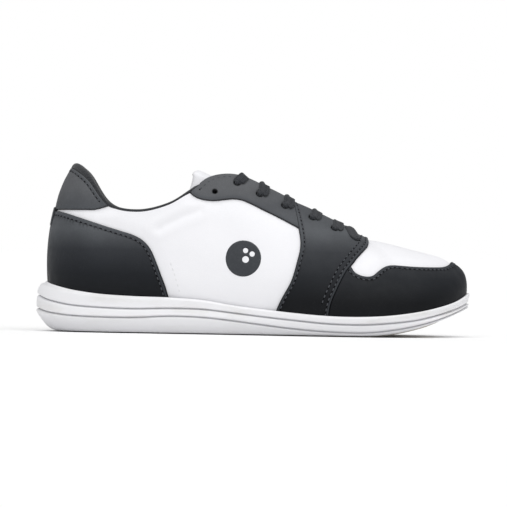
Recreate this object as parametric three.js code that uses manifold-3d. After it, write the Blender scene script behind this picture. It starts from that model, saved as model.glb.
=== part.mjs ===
// Right-foot bowling shoe, millimetres, +X to the toe, +Y to the inner (medial) side, +Z up.
// The origin is on the floor, under the middle of the shoe's bounding box.
import * as THREE from 'three';
import { mergeVertices } from 'three/addons/utils/BufferGeometryUtils.js';
import Module from 'manifold-3d';

const wasm = await Module();
wasm.setup();

// ---------------------------------------------------------------- driving dimensions

const gap = 0.32; // clearance between neighbouring pieces
const halfWidth = 80; // further to the side than any piece
const leather = 1.2; // thickness of the outer leather and of the panels sewn on it
const stiffener = 1.2; // heel counter, toe puff and eyelet backing
const liningThick = 0.8;
const cupDepth = 3.6; // how far the upper stands down inside the rim of the sole

// Layers of the upper, as distances from its outer leather face, outwards positive.
const panelLayer = [gap, gap + leather];
const shellLayer = [-leather, 0];
const stiffLayer = [-leather - gap - stiffener, -leather - gap];
const liningFace = stiffLayer[0] - gap;

// Stations run from the middle of the heel (first) round one side to the middle of the toe (last).
// The feather line is where the upper meets the insole board.
const feather = {
  x: [-141.8, -136.5, -123.5, -105, -82, -58, -35, -14, 7, 29, 51, 72, 92, 110, 125, 136.5, 144, 146.8],
  lateral: [0, -17, -28, -33.5, -35, -36, -37.5, -39.5, -43, -46.8, -49.4, -50, -47.5, -41, -31, -18.5, -5, 8],
  medial: [0, 17, 28, 32.5, 32, 30.5, 29, 30.5, 35, 41.5, 47, 50, 49.5, 46.3, 41, 34, 24, 8],
};
// Top line: round the collar, along the lace edge, then along the ridge of the vamp.
const topLine = {
  x: [-127.5, -124, -115, -101, -81, -60, -44, -31, -13, 9, 32, 54, 69.5, 76.5, 84, 93, 103, 114],
  half: [0, 9, 18.5, 25.5, 28.5, 28.5, 24, 15.5, 10.5, 9.5, 9, 8.5, 7.5, 0, 0, 0, 0, 0],
  middle: [0, 0, 0, 0, 0, 0, 0, 0, 0, 0, 0, 0, 0, 0, 0.2, 0.6, 1.2, 2],
  z: [113.5, 112, 104.5, 87.5, 83.5, 88.5, 98.5, 108, 109.5, 100.5, 89, 78.5, 70, 67.6, 65.9, 63.8, 61.5, 59],
};
const ridgeFall = 0.23; // slope of the vamp's ridge down to the toe
// How the leather leaves the feather line and how it arrives at the top line.
const leave = {
  out: [3, 3.5, 5, 6, 6, 6, 6, 6, 6, 6, 6, 6, 6, 6, 5, 4, 3, 2],
  up: [30, 30, 28, 22, 20, 20, 22, 24, 26, 26, 24, 22, 21, 20, 19, 18.5, 18.5, 19],
};
const arrive = {
  out: [13, 12, 9, 5, 4, 5, 9, 16, 20, 21, 22, 24, 26, 28, 30, 31, 31, 31],
  down: [26, 25, 22, 18, 17, 18, 19, 19, 18, 17, 15, 12, 8, 2, 0, 0, 0, 0],
};
const lastStation = feather.x.length - 1;
const throatEnd = 13; // station where the lace opening closes into the vamp
const collarEnd = 6.6; // station where the collar meets the eyestay

// Sole, at the same stations.
const sole = {
  rim: [34.8, 32.6, 29.3, 26.8, 25.6, 25.1, 23.7, 20.5, 18.1, 15.9, 14.3, 14, 15.1, 17.6, 21, 24.8, 28.8, 31],
  flare: [9.5, 7.6, 6, 5.6, 5.6, 5.6, 5.6, 5.6, 5.6, 5.6, 5.6, 5.4, 5.1, 4.8, 4.5, 4.2, 4, 3.9],
  bevel: [13, 9, 6, 4.5, 4, 4, 4, 4, 4, 4, 4, 4, 4, 4, 4, 3, 2, 1.5],
  // Heights of the two grooves, as parts of the height of the wall.
  upperGroove: [0.72, 0.66, 0.63, 0.64, 0.65, 0.69, 0.72, 0.73, 0.7, 0.66, 0.6, 0.58, 0.58, 0.52, 0.48, 0.42, 0.36,
    0.34],
  lowerGroove: [0.45, 0.4, 0.38, 0.39, 0.41, 0.47, 0.48, 0.46, 0.38, 0.28, 0.2, 0.17, 0.2, 0.2, 0.18, 0.17, 0.17,
    0.17],
};
const grooveDepth = 1.1;
const rimWall = 2.2; // thickness of the sole's rim round the upper
const soleFloor = 2.8; // rubber under the cup, thinner at the tip of the toe
const toeFloor = 1.2;
const padDrop = 0.8; // how far the pads under the sole stand down to the floor
const padThick = 1.7;
const padInset = 4.5; // from the feather line to the edge of the pads
const springStart = 72; // ahead of this the sole lifts off the floor
const springRate = 0.0035; // lift in mm for each square mm of length

const boardThick = 1.7;
const boardOverhang = 1.2; // of the insole board past the feather line
const footbedFoam = 4;
const footbedCover = 0.8;
const footbedInset = 5.8; // from the feather line to the edge of the footbed

const eyelets = [[-28.2, 98], [-12.9, 104], [2.6, 96.4], [20.1, 88.3], [39.1, 80.1], [54.6, 72.8], [69.3, 66]];
const eyeletRadius = 2.3;
const holeLength = 16; // longer than all the layers are thick
const laceWidth = 7.6;
const laceThick = 1.3;

// Panel outlines in side view, [x, z].
const forefootRear = [[27, 97], [30.7, 83.6], [32.6, 74.5], [33.8, 66.2], [33.2, 59.2], [30.5, 50.8],
  [27.9, 43], [25.2, 36], [19.7, 26.2], [15.7, 17.4], [13, 8]];
const forefootFront = [[50, -2], [51.5, 12], [53.3, 22.5], [56.7, 30.9], [60, 38], [63.4, 44.3], [66.8, 48.6],
  [71, 54], [75.6, 59], [78.2, 62], [78.9, 64.5], [78.6, 69], [78.4, 76]];
const eyestayLower = [[-49, 101], [-43.4, 95.6], [-38, 93], [-31.6, 92], [-26, 92.1], [-20.4, 92.9], [-14.8, 93.4],
  [-9.2, 92.6], [-3.6, 90.5], [7.6, 85.1], [18.9, 79.7], [30.1, 73.8], [40, 68]];
const toeFoxingUpper = [[56, 60], [66, 52], [67.2, 47.5], [69.8, 43.6], [75.3, 41.5], [80.9, 41.8], [85, 45],
  [90, 48.2], [96, 49], [110, 48.2], [122, 48], [131, 48.4], [136, 50.6], [138, 53.6], [137.4, 62]];
const heelFoxingUpper = [[-160, 83.6], [-139, 83.5], [-132, 82.4], [-120.7, 79], [-103.8, 73.7], [-92.6, 70.4],
  [-84, 67.6], [-78.6, 63.7], [-74, 57.5], [-69.9, 47.8], [-67, 40.1], [-64.1, 32.5], [-60.4, 20], [-58, 8]];
const heelTabLower = [[-160, 84.3], [-115, 84.4], [-109.6, 84.8], [-104, 86.3], [-98, 89], [-94, 94]];
const emblemCentre = [-7.5, 52.5];
const emblemRadius = 12.5;
const emblemHoles = [[1.5, 5.5, 1.7], [6, 3.2, 1.7], [1.6, -0.6, 2.1]]; // from its centre, with their radii

// ---------------------------------------------------------------- small helpers

const colours = {
  darkLeather: 0x34383d, whiteLeather: 0xf2f2f4, soleRubber: 0xf0f0f0, lining: 0x1d1f22, foam: 0xd8d4c8,
  fibre: 0x8b7a5e, steel: 0x9aa0a6, microfibre: 0xb9b4a8, heelRubber: 0x2b2d30, lace: 0x26282c, plastic: 0x15161a,
};

function material(name, roughness = 0.6, metalness = 0) {
  return new THREE.MeshStandardMaterial({ color: colours[name], roughness, metalness });
}

// Smooth value through evenly spaced keys. The ends are mirrored, so that the two sides of the shoe
// meet without a crease; a sideways position is mirrored through its end value instead.
function through(keys, u, sideways = false) {
  const last = keys.length - 1;
  const place = Math.min(Math.max(u, 0), 1) * last;
  const i = Math.min(Math.floor(place), last - 1);
  const t = place - i;
  const mirrored = (end, inner) => (sideways ? 2 * keys[end] - keys[inner] : keys[inner]);
  const before = i > 0 ? keys[i - 1] : mirrored(0, 1);
  const after = i < last - 1 ? keys[i + 2] : mirrored(last, last - 1);
  const a = keys[i];
  const b = keys[i + 1];
  const slopeA = (b - before) / 2;
  const slopeB = (after - a) / 2;
  const t2 = t * t;
  const t3 = t2 * t;
  return a * (2 * t3 - 3 * t2 + 1) + slopeA * (t3 - 2 * t2 + t) + b * (3 * t2 - 2 * t3) + slopeB * (t3 - t2);
}

function smooth(from, to, value) {
  const t = Math.min(Math.max((value - from) / (to - from), 0), 1);
  return t * t * (3 - 2 * t);
}

const mix = (a, b, t) => a + (b - a) * t;
const station = (k) => k / lastStation;

// ---------------------------------------------------------------- surface of the upper

// w runs round the whole shoe: 0 at the heel, -1 and 1 both at the toe, negative on the lateral side.
const wrap = (w) => (w > 1 ? w - 2 : w < -1 ? w + 2 : w);

function featherPoint(w) {
  const u = Math.abs(w);
  const y = through(w < 0 ? feather.lateral : feather.medial, u, true);
  return new THREE.Vector3(through(feather.x, u), y, through(sole.rim, u) - cupDepth);
}

function featherOutward(w) {
  const step = 0.004;
  const along = featherPoint(wrap(w + step)).sub(featherPoint(wrap(w - step)));
  return new THREE.Vector3(-along.y, along.x, 0).normalize();
}

function topPoint(w) {
  const u = Math.abs(w);
  const half = u < station(throatEnd) ? Math.max(through(topLine.half, u, true), 0) : 0;
  const y = through(topLine.middle, u) + Math.sign(w) * half;
  return new THREE.Vector3(through(topLine.x, u), y, through(topLine.z, u));
}

function upperPoint(w, v) {
  const u = Math.abs(w);
  const low = featherPoint(w);
  const high = topPoint(w);
  const outward = low.clone().sub(high).setZ(0).normalize();
  const reach = through(arrive.out, u);
  const first = low.clone().addScaledVector(featherOutward(w), through(leave.out, u));
  first.z += through(leave.up, u);
  const second = high.clone().addScaledVector(outward, reach);
  second.z -= through(arrive.down, u) + smooth(station(12), station(13), u) * ridgeFall * reach * outward.x;
  const r = 1 - v;
  return low.multiplyScalar(r * r * r)
    .addScaledVector(first, 3 * r * r * v)
    .addScaledVector(second, 3 * r * v * v)
    .addScaledVector(high, v * v * v);
}

function upperNormal(w, v) {
  if (v === 1 && Math.abs(w) >= station(throatEnd)) return new THREE.Vector3(ridgeFall, 0, 1).normalize();
  const step = 0.004;
  const along = upperPoint(wrap(w + step), v).sub(upperPoint(wrap(w - step), v));
  const up = upperPoint(w, Math.min(v + step, 1)).sub(upperPoint(w, Math.max(v - step, 0)));
  return up.cross(along).normalize();
}

function offUpper(w, v, distance) {
  return upperPoint(w, v).addScaledVector(upperNormal(w, v), distance);
}

// Place on the surface, as [w, v], of a point given in side view.
function locate(x, z, side) {
  let [u, v] = [0.5, 0.8];
  const step = 0.002;
  for (let round = 0; round < 40; round += 1) {
    const here = upperPoint(side * u, v);
    const du = upperPoint(side * (u + step), v).sub(here).divideScalar(step);
    const dv = upperPoint(side * u, Math.min(v + step, 1.2)).sub(here).divideScalar(step);
    const [ex, ez] = [x - here.x, z - here.z];
    const determinant = du.x * dv.z - dv.x * du.z;
    u += 0.7 * (ex * dv.z - dv.x * ez) / determinant;
    v += 0.7 * (du.x * ez - ex * du.z) / determinant;
    u = Math.min(Math.max(u, 0.01), 0.99);
    v = Math.min(Math.max(v, 0), 1);
  }
  return [side * u, v];
}

// ---------------------------------------------------------------- solids from points

// Closed geometry from points and triangles, turned outwards.
function geometryFrom(points, triangles) {
  const geometry = new THREE.BufferGeometry();
  geometry.setAttribute('position', new THREE.Float32BufferAttribute(points.flatMap((p) => p.toArray()), 3));
  let volume = 0;
  for (const [a, b, c] of triangles) volume += points[a].dot(points[b].clone().cross(points[c]));
  geometry.setIndex((volume < 0 ? triangles.map(([a, b, c]) => [a, c, b]) : triangles).flat());
  return mergeVertices(geometry, 1e-4);
}

// Skin over a row of closed sections with the same number of points. The two ends are closed by
// rungs between the points on either side of the section's first point.
function loft(sections) {
  const size = sections[0].length;
  const triangles = [];
  for (let row = 0; row + 1 < sections.length; row += 1) {
    for (let i = 0; i < size; i += 1) {
      const a = row * size + i;
      const b = row * size + ((i + 1) % size);
      triangles.push([a, b, b + size], [a, b + size, a + size]);
    }
  }
  for (const [first, flip] of [[0, true], [(sections.length - 1) * size, false]]) {
    for (let i = 0; 2 * i + 2 <= size; i += 1) {
      const left = first + i;
      const nextLeft = first + i + 1;
      const right = first + ((size - i) % size);
      const nextRight = first + size - i - 1;
      const rungs = [[left, nextLeft, nextRight], [left, nextRight, right]];
      for (const [a, b, c] of rungs) {
        if (a !== b && b !== c && a !== c) triangles.push(flip ? [a, c, b] : [a, b, c]);
      }
    }
  }
  return geometryFrom(sections.flat(), triangles);
}

const ringColumns = 34; // columns of the mesh on each side of the shoe
const ringRows = 5;
const columnPlace = (i) => -1 + i / ringColumns;

// Layer of the upper between two distances from its face, all round the shoe. A distance may be a
// function of the place.
function upperLayer(inner, outer) {
  const columns = 2 * ringColumns;
  const distanceAt = (value, w, v) => (typeof value === 'function' ? value(w, v) : value);
  const points = [];
  for (const distance of [outer, inner]) {
    for (let i = 0; i < columns; i += 1) {
      for (let j = 0; j <= ringRows; j += 1) {
        const [w, v] = [columnPlace(i), j / ringRows];
        points.push(offUpper(w, v, distanceAt(distance, w, v)));
      }
    }
  }
  const innerStart = columns * (ringRows + 1);
  const at = (i, j) => (i % columns) * (ringRows + 1) + j;
  const triangles = [];
  for (let i = 0; i < columns; i += 1) {
    for (let j = 0; j < ringRows; j += 1) {
      const [a, b, c, d] = [at(i, j), at(i + 1, j), at(i + 1, j + 1), at(i, j + 1)];
      triangles.push([a, d, c], [a, c, b]);
      triangles.push([a, b, c].map((n) => n + innerStart), [a, c, d].map((n) => n + innerStart));
    }
    const [a, b] = [at(i, 0), at(i + 1, 0)];
    triangles.push([a, b, b + innerStart], [a, b + innerStart, a + innerStart]);
    const open = station(throatEnd) + 1e-6;
    if (Math.abs(columnPlace(i)) < open && Math.abs(columnPlace(i + 1)) < open) {
      const [d, c] = [at(i, ringRows), at(i + 1, ringRows)];
      triangles.push([c, d, d + innerStart], [c, d + innerStart, c + innerStart]);
    }
  }
  return geometryFrom(points, triangles);
}

// Plate that follows the feather line at a distance, between two heights that vary along the shoe.
function plate(offset, bottom, top) {
  const ring = (height) => {
    const points = [];
    for (let i = 0; i < 2 * ringColumns; i += 1) {
      const w = columnPlace(i);
      const point = featherPoint(w).addScaledVector(featherOutward(w), offset);
      point.z = height(Math.abs(w), point.x);
      points.push(point);
    }
    return points;
  };
  return loft([ring(bottom), ring(top)]);
}

// Solid of a side-view outline between two sideways positions.
function sidePrism(outline, yFrom, yTo) {
  const shape = new THREE.Shape(outline.map(([x, z]) => new THREE.Vector2(x, z)));
  const prism = new THREE.ExtrudeGeometry(shape, { depth: yTo - yFrom, bevelEnabled: false });
  return prism.rotateX(Math.PI / 2).translate(0, yTo, 0);
}

// Solid of a plan outline between two heights.
function planPrism(outline, zFrom, zTo) {
  const shape = new THREE.Shape(outline.map(([x, y]) => new THREE.Vector2(x, y)));
  return new THREE.ExtrudeGeometry(shape, { depth: zTo - zFrom, bevelEnabled: false }).translate(0, 0, zFrom);
}

// The outline moved outwards by a distance.
function grown(outline, distance) {
  const at = (i) => outline[(i + outline.length) % outline.length];
  let area = 0;
  outline.forEach(([x, z], i) => { area += x * at(i + 1)[1] - at(i + 1)[0] * z; });
  const turn = Math.sign(area) * distance;
  return outline.map(([x, z], i) => {
    const [ax, az] = [x - at(i - 1)[0], z - at(i - 1)[1]];
    const [bx, bz] = [at(i + 1)[0] - x, at(i + 1)[1] - z];
    const a = new THREE.Vector2(az, -ax).normalize();
    const b = new THREE.Vector2(bz, -bx).normalize();
    const out = a.add(b).normalize();
    return [x + out.x * turn, z + out.y * turn];
  });
}

function solid(geometry) {
  const plain = geometry.clone();
  plain.deleteAttribute('normal');
  plain.deleteAttribute('uv');
  const merged = mergeVertices(plain, 1e-4);
  const vertProperties = new Float32Array(merged.attributes.position.array);
  const triVerts = new Uint32Array(merged.index.array);
  return new wasm.Manifold(new wasm.Mesh({ numProp: 3, vertProperties, triVerts }));
}

function geometryOf(body) {
  const mesh = body.getMesh();
  const geometry = new THREE.BufferGeometry();
  geometry.setAttribute('position', new THREE.BufferAttribute(new Float32Array(mesh.vertProperties), 3));
  geometry.setIndex([...mesh.triVerts]);
  return geometry;
}

const shoe = new THREE.Group();
shoe.name = 'bowling_shoe';

function add(name, geometry, colour, roughness, metalness) {
  const mesh = new THREE.Mesh(geometry, material(colour, roughness, metalness));
  mesh.name = name;
  shoe.add(mesh);
}

// ---------------------------------------------------------------- sole

const rimAt = (u) => through(sole.rim, u);
const spring = (x) => (x > springStart ? springRate * (x - springStart) ** 2 : 0);
const underside = (u, x) => padDrop + spring(x);
const cupFloor = (u, x) => underside(u, x) + mix(soleFloor, toeFloor, smooth(station(13), station(15.5), u));
const panelDip = 0.3 * panelLayer[1]; // the panels' lower edges stand a little below the feather line
const boardTop = (u) => rimAt(u) - cupDepth - gap - panelDip;
const boardBottom = (u) => boardTop(u) - boardThick;
const cupWall = panelLayer[1] + gap; // from the feather line to the inner wall of the cup
// The wall of the cup leans outwards with the upper.
const rimLean = (u) => cupDepth * through(leave.out, u) / through(leave.up, u);
const rimFace = (u) => cupWall + rimLean(u);

// One ring of the sole: a distance out from the feather line and a height, both found at each column.
function soleRing(offsetAt, heightAt) {
  const points = [];
  for (let i = 0; i < 2 * ringColumns; i += 1) {
    const w = columnPlace(i);
    const u = Math.abs(w);
    const point = featherPoint(w).addScaledVector(featherOutward(w), offsetAt(u));
    const low = underside(u, point.x);
    const rim = rimAt(u);
    const lower = mix(low, rim, through(sole.lowerGroove, u));
    const upper = mix(low, rim, through(sole.upperGroove, u));
    point.z = heightAt({ low, lower, upper, rim, u, x: point.x });
    points.push(point);
  }
  return points;
}

function makeOutsole() {
  const flare = (inset) => (u) => through(sole.flare, u) - inset;
  const rings = [
    soleRing((u) => through(sole.flare, u) - through(sole.bevel, u), (h) => h.low),
    soleRing((u) => through(sole.flare, u) - 0.35 * through(sole.bevel, u), (h) => mix(h.low, h.lower, 0.3)),
    soleRing(flare(0.3), (h) => mix(h.low, h.lower, 0.75)),
    soleRing(flare(grooveDepth), (h) => h.lower),
    soleRing(flare(0.2), (h) => mix(h.lower, h.upper, 0.2)),
    soleRing(flare(0), (h) => mix(h.lower, h.upper, 0.5)),
    soleRing(flare(0.5), (h) => mix(h.lower, h.upper, 0.8)),
    soleRing(flare(grooveDepth + 0.6), (h) => h.upper),
    soleRing(flare(0.8), (h) => mix(h.upper, h.rim, 0.2)),
    soleRing((u) => mix(through(sole.flare, u), rimFace(u) + rimWall, 0.6), (h) => mix(h.upper, h.rim, 0.85)),
    soleRing((u) => rimFace(u) + 0.4 * rimWall, (h) => h.rim),
    soleRing(rimFace, (h) => h.rim - 0.3),
    soleRing(() => cupWall, (h) => cupFloor(h.u, h.x)),
  ];
  return loft(rings);
}

// Plan outline of a pad with rounded ends, wide enough to be trimmed by the sole's own edge.
function padOutline(xFrom, xTo, round) {
  const reach = 70;
  const outline = [];
  for (const [x, sign] of [[xTo, 1], [xFrom, -1]]) {
    for (let i = -6; i <= 6; i += 1) {
      const y = sign * i / 6 * reach;
      outline.push([x - sign * round * (y / reach) ** 2, y]);
    }
  }
  return outline;
}

function makePad(xFrom, xTo, round, grow) {
  const low = grow ? -3 : 0; // the cut for the pad is open below
  const slab = plate(grow - padInset, (u, x) => spring(x) + low, (u, x) => spring(x) + padThick + grow);
  return solid(slab).intersect(solid(planPrism(padOutline(xFrom - grow, xTo + grow, round), -9, 40)));
}

// Rear end, front end, and how far the ends are swept back at the sides.
const slidePadSpan = [-12, 132, 42];
const heelPadSpan = [-133, -66, -14];
const outsole = solid(makeOutsole())
  .subtract(makePad(...slidePadSpan, gap))
  .subtract(makePad(...heelPadSpan, gap));
add('outsole', geometryOf(outsole), 'soleRubber', 0.55);
add('slide_pad', geometryOf(makePad(...slidePadSpan, 0)), 'microfibre', 0.9);
add('heel_pad', geometryOf(makePad(...heelPadSpan, 0)), 'heelRubber', 0.7);

// Shank: a steel strip that follows the board, let into the foam.
const shank = { from: 3.3, to: 8.2, width: 15, thick: 1.3 };

function shankOutline(extra) {
  const line = (drop) => {
    const points = [];
    for (let i = 0; i <= 10; i += 1) {
      const u = station(mix(shank.from, shank.to, i / 10));
      points.push([through(feather.x, u), boardBottom(u) - drop]);
    }
    return points;
  };
  return [...line(gap - extra), ...line(gap + shank.thick + extra).reverse()];
}

const pocketHalf = shank.width / 2 + gap;
const shankPocket = solid(sidePrism(grown(shankOutline(gap + 0.4), gap), -pocketHalf, pocketHalf));
const foamBlock = plate(cupWall - gap - 0.2, (u, x) => cupFloor(u, x) + gap, (u) => boardBottom(u) - gap);
add('midsole_foam', geometryOf(solid(foamBlock).subtract(shankPocket)), 'foam', 0.9);
add('shank', sidePrism(shankOutline(0), -shank.width / 2, shank.width / 2), 'steel', 0.4, 0.9);
add('insole_board', plate(boardOverhang, boardBottom, boardTop), 'fibre', 0.9);

// The footbed lies loose on the board and lifts out.
const footbedBottom = (u) => boardTop(u) + gap;
const footbedSplit = (u) => footbedBottom(u) + footbedFoam;
add('footbed_foam', plate(-footbedInset, footbedBottom, footbedSplit), 'foam', 0.9);
add('footbed_cover', plate(-footbedInset, (u) => footbedSplit(u) + gap,
  (u) => footbedSplit(u) + gap + footbedCover), 'lining', 0.9);

// ---------------------------------------------------------------- upper

// Extra thickness of the padded collar, on the inside.
const collarPad = 4.6;
function padAt(w, v) {
  const u = Math.abs(w);
  const alongCollar = 1 - smooth(station(collarEnd - 1.1), station(collarEnd + 0.4), u);
  const thinAtHeel = mix(0.6, 1, smooth(0, station(2), u));
  return collarPad * alongCollar * thinAtHeel * smooth(0.6, 0.85, v);
}

const sides = [['lateral', -halfWidth, -gap / 2], ['medial', gap / 2, halfWidth]];
const shell = solid(upperLayer(...shellLayer));
const panels = solid(upperLayer(...panelLayer));
const stiffeners = solid(upperLayer((w, v) => stiffLayer[0] - padAt(w, v), stiffLayer[1]));
const liningOutside = (w, v) => liningFace - padAt(w, v);
const lining = solid(upperLayer((w, v) => liningOutside(w, v) - liningThick, liningOutside));

const across = (outline) => solid(sidePrism(outline, -halfWidth, halfWidth));

// Eyelet holes, square to the surface, right through the layers.
function eyeletHoles() {
  let holes;
  for (const side of [-1, 1]) {
    for (const [x, z] of eyelets) {
      const [w, v] = locate(x, z, side);
      const hole = new THREE.CylinderGeometry(eyeletRadius, eyeletRadius, holeLength, 8);
      const turn = new THREE.Quaternion().setFromUnitVectors(new THREE.Vector3(0, 1, 0), upperNormal(w, v));
      hole.applyQuaternion(turn).translate(...upperPoint(w, v).toArray());
      holes = holes ? holes.add(solid(hole)) : solid(hole);
    }
  }
  return holes;
}
const holes = eyeletHoles();

// White base: two quarters and a vamp, with the joint between them under the forefoot panel.
const vampRear = [[46, -5], [43, 20], [47, 45], [55, 60], [58, 90]];
const vampOutline = [...vampRear, [170, 90], [170, -5]];
const quarterOutline = [...vampRear.map(([x, z]) => [x - gap, z]), [58, 130], [-170, 130], [-170, -5]];
add('vamp', geometryOf(shell.intersect(across(vampOutline)).subtract(holes)), 'whiteLeather', 0.5);
for (const [name, from, to] of sides) {
  const quarter = shell.intersect(solid(sidePrism(quarterOutline, from, to))).subtract(holes);
  add(`quarter_${name}`, geometryOf(quarter), 'whiteLeather', 0.5);
}

// Dark panels sewn on the base.
const forefootOutline = [...forefootRear, ...forefootFront];
const aroundForefoot = across(grown(forefootOutline, gap));
const eyestayOutline = [...eyestayLower, [40, 130], [-49, 130]];
for (const [name, from, to] of sides) {
  const forefoot = panels.intersect(solid(sidePrism(forefootOutline, from, to))).subtract(holes);
  add(`forefoot_overlay_${name}`, geometryOf(forefoot), 'darkLeather', 0.5);
  const eyestay = panels.intersect(solid(sidePrism(eyestayOutline, from, to)));
  add(`eyestay_${name}`, geometryOf(eyestay.subtract(aroundForefoot).subtract(holes)), 'darkLeather', 0.5);
}
const toeFoxing = panels.intersect(across([...toeFoxingUpper, [170, 62], [170, -5], [50, -5]]));
add('toe_foxing', geometryOf(toeFoxing.subtract(aroundForefoot)), 'darkLeather', 0.5);

// The backstay strip runs down from the heel tab over the middle of the heel foxing.
const backstay = { half: 7, low: 73, high: 83.9 };
function backstayBox(grow) {
  const height = backstay.high - backstay.low + 2 * grow;
  const box = new THREE.BoxGeometry(40, 2 * (backstay.half + grow), height);
  return solid(box.translate(-150, 0, (backstay.high + backstay.low) / 2));
}
const heelFoxing = panels.intersect(across([...heelFoxingUpper, [-58, -5], [-160, -5]]));
add('heel_foxing', geometryOf(heelFoxing.subtract(backstayBox(gap))), 'darkLeather', 0.5);
add('backstay_strip', geometryOf(panels.intersect(backstayBox(0))), 'darkLeather', 0.5);
const heelTab = panels.intersect(across([...heelTabLower, [-94, 130], [-160, 130]]));
add('heel_tab', geometryOf(heelTab), 'darkLeather', 0.5);

// Plain round badge like a ball with three finger holes.
function badge(from, to) {
  const disc = (x, z, radius, segments) => {
    const barrel = new THREE.CylinderGeometry(radius, radius, to - from, segments);
    return solid(barrel.translate(x, (from + to) / 2, z));
  };
  const [x, z] = emblemCentre;
  let body = panels.intersect(disc(x, z, emblemRadius, 28));
  for (const [dx, dz, radius] of emblemHoles) {
    body = body.subtract(disc(x + dx, z + dz, radius, 10));
  }
  return geometryOf(body);
}
for (const [name, from, to] of sides) add(`badge_${name}`, badge(from, to), 'darkLeather', 0.45);

// Between the base and the lining: heel counter, collar foam, eyelet backing and toe puff.
const counterOutline = [[-165, 5], [-165, 64], [-120, 63], [-92, 55], [-78, 40], [-70, 5]];
const foamOutline = [[-165, 67], [-119, 66], [-90, 61], [-60, 62], [-44, 70], [-36, 88], [-40, 112], [-120, 130],
  [-165, 130]];
const puffOutline = [[104, -5], [107, 35], [112, 46], [118, 70], [165, 70], [165, -5]];
const backingOutline = [[-33, 100], [-22, 96], [-8, 98], [14, 86], [36, 76], [60, 64], [74, 60], [74, 90],
  [-30, 130]];
add('heel_counter', geometryOf(stiffeners.intersect(across(counterOutline))), 'fibre', 0.8);
add('collar_foam', geometryOf(stiffeners.intersect(across(foamOutline))), 'foam', 0.9);
add('toe_puff', geometryOf(stiffeners.intersect(across(puffOutline))), 'fibre', 0.8);
for (const [name, from, to] of sides) {
  const backing = stiffeners.intersect(solid(sidePrism(backingOutline, from, to))).subtract(holes);
  add(`eyelet_backing_${name}`, geometryOf(backing), 'fibre', 0.8);
}
const liningSplit = [[30, -5], [30, 70], [34, 130]];
const liningFront = [...liningSplit, [170, 130], [170, -5]];
const liningRear = [...liningSplit.map(([x, z]) => [x - gap, z]), [-170, 130], [-170, -5]];
add('vamp_lining', geometryOf(lining.intersect(across(liningFront)).subtract(holes)), 'lining', 0.9);
add('collar_lining', geometryOf(lining.intersect(across(liningRear)).subtract(holes)), 'lining', 0.9);

// Rolled collar edge that caps all the layers round the foot opening.
const rollHeight = { sides: 2.6, heel: 4.6 };
function makeCollarRoll() {
  const sections = [];
  const steps = Math.floor(station(collarEnd) * ringColumns);
  for (let i = -steps; i <= steps; i += 1) {
    const w = i / ringColumns;
    const normal = upperNormal(w, 1);
    const up = upperPoint(w, 1).sub(upperPoint(w, 0.98)).normalize();
    const inner = liningFace - liningThick - padAt(w, 1);
    const tall = mix(rollHeight.sides, rollHeight.heel, 1 - smooth(station(1.5), station(3.5), Math.abs(w)));
    const [outerArc, innerArc] = [[[0, gap], [0, 0.6 * tall]], [[inner, 0.6 * tall], [inner, gap]]];
    const profile = [...outerArc, [0.3 * inner, tall], [0.7 * inner, tall], ...innerArc];
    const place = ([out, rise]) => topPoint(w).addScaledVector(normal, out).addScaledVector(up, rise);
    sections.push(profile.map(place));
  }
  return loft(sections);
}
add('collar_roll', makeCollarRoll(), 'lining', 0.8);

// ---------------------------------------------------------------- tongue

// Sections across the tongue, from its root under the vamp (q = 0) to its free tip (q = 1). Under the
// eyestays it follows their inner face; in the lace opening it arches from one side to the other.
const tongue = { root: 13.9, last: 7.5, overhangStart: 0.84, overhang: [-18, 8], tipNarrowing: 0.32 };
const laceRoom = 1; // between the lining and the lace under it
// The tongue's face, which leaves room for the lace above it.
const tongueTop = liningFace - liningThick - 2 * laceRoom - laceThick - 0.5;
const tongueRows = 11;
const tongueColumns = 4; // on each side of the middle

function tongueSection(q) {
  const along = Math.min(q / tongue.overhangStart, 1);
  const u = station(mix(tongue.root, tongue.last, along));
  const beyond = Math.max((q - tongue.overhangStart) / (1 - tongue.overhangStart), 0);
  const lowEdge = mix(0.82, 0.68, smooth(0, 0.5, q));
  const rise = 2 * smooth(0.12, 0.4, q);
  const half = (side) => {
    const points = [];
    for (let i = 0; i < tongueColumns; i += 1) {
      const v = mix(lowEdge, 1, i / (tongueColumns - 1));
      points.push(offUpper(side * u, v, tongueTop));
    }
    return points;
  };
  const lateral = half(-1);
  const medial = half(1);
  const last = tongueColumns - 1;
  const middle = lateral[last].clone().add(medial[last]).multiplyScalar(0.5);
  middle.z += rise;
  if (middle.distanceTo(lateral[last]) < 3) {
    lateral.pop();
    medial.pop();
    const shoulder = [lateral[last - 1], medial[last - 1]];
    lateral.push(shoulder[0].clone().lerp(middle, 0.5));
    medial.push(shoulder[1].clone().lerp(middle, 0.5));
  }
  const row = [...lateral, middle, ...medial.reverse()];
  for (const point of row) {
    point.x += beyond * tongue.overhang[0];
    point.z += beyond * tongue.overhang[1];
    point.y *= 1 - tongue.tipNarrowing * beyond * beyond;
  }
  return row;
}

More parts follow.
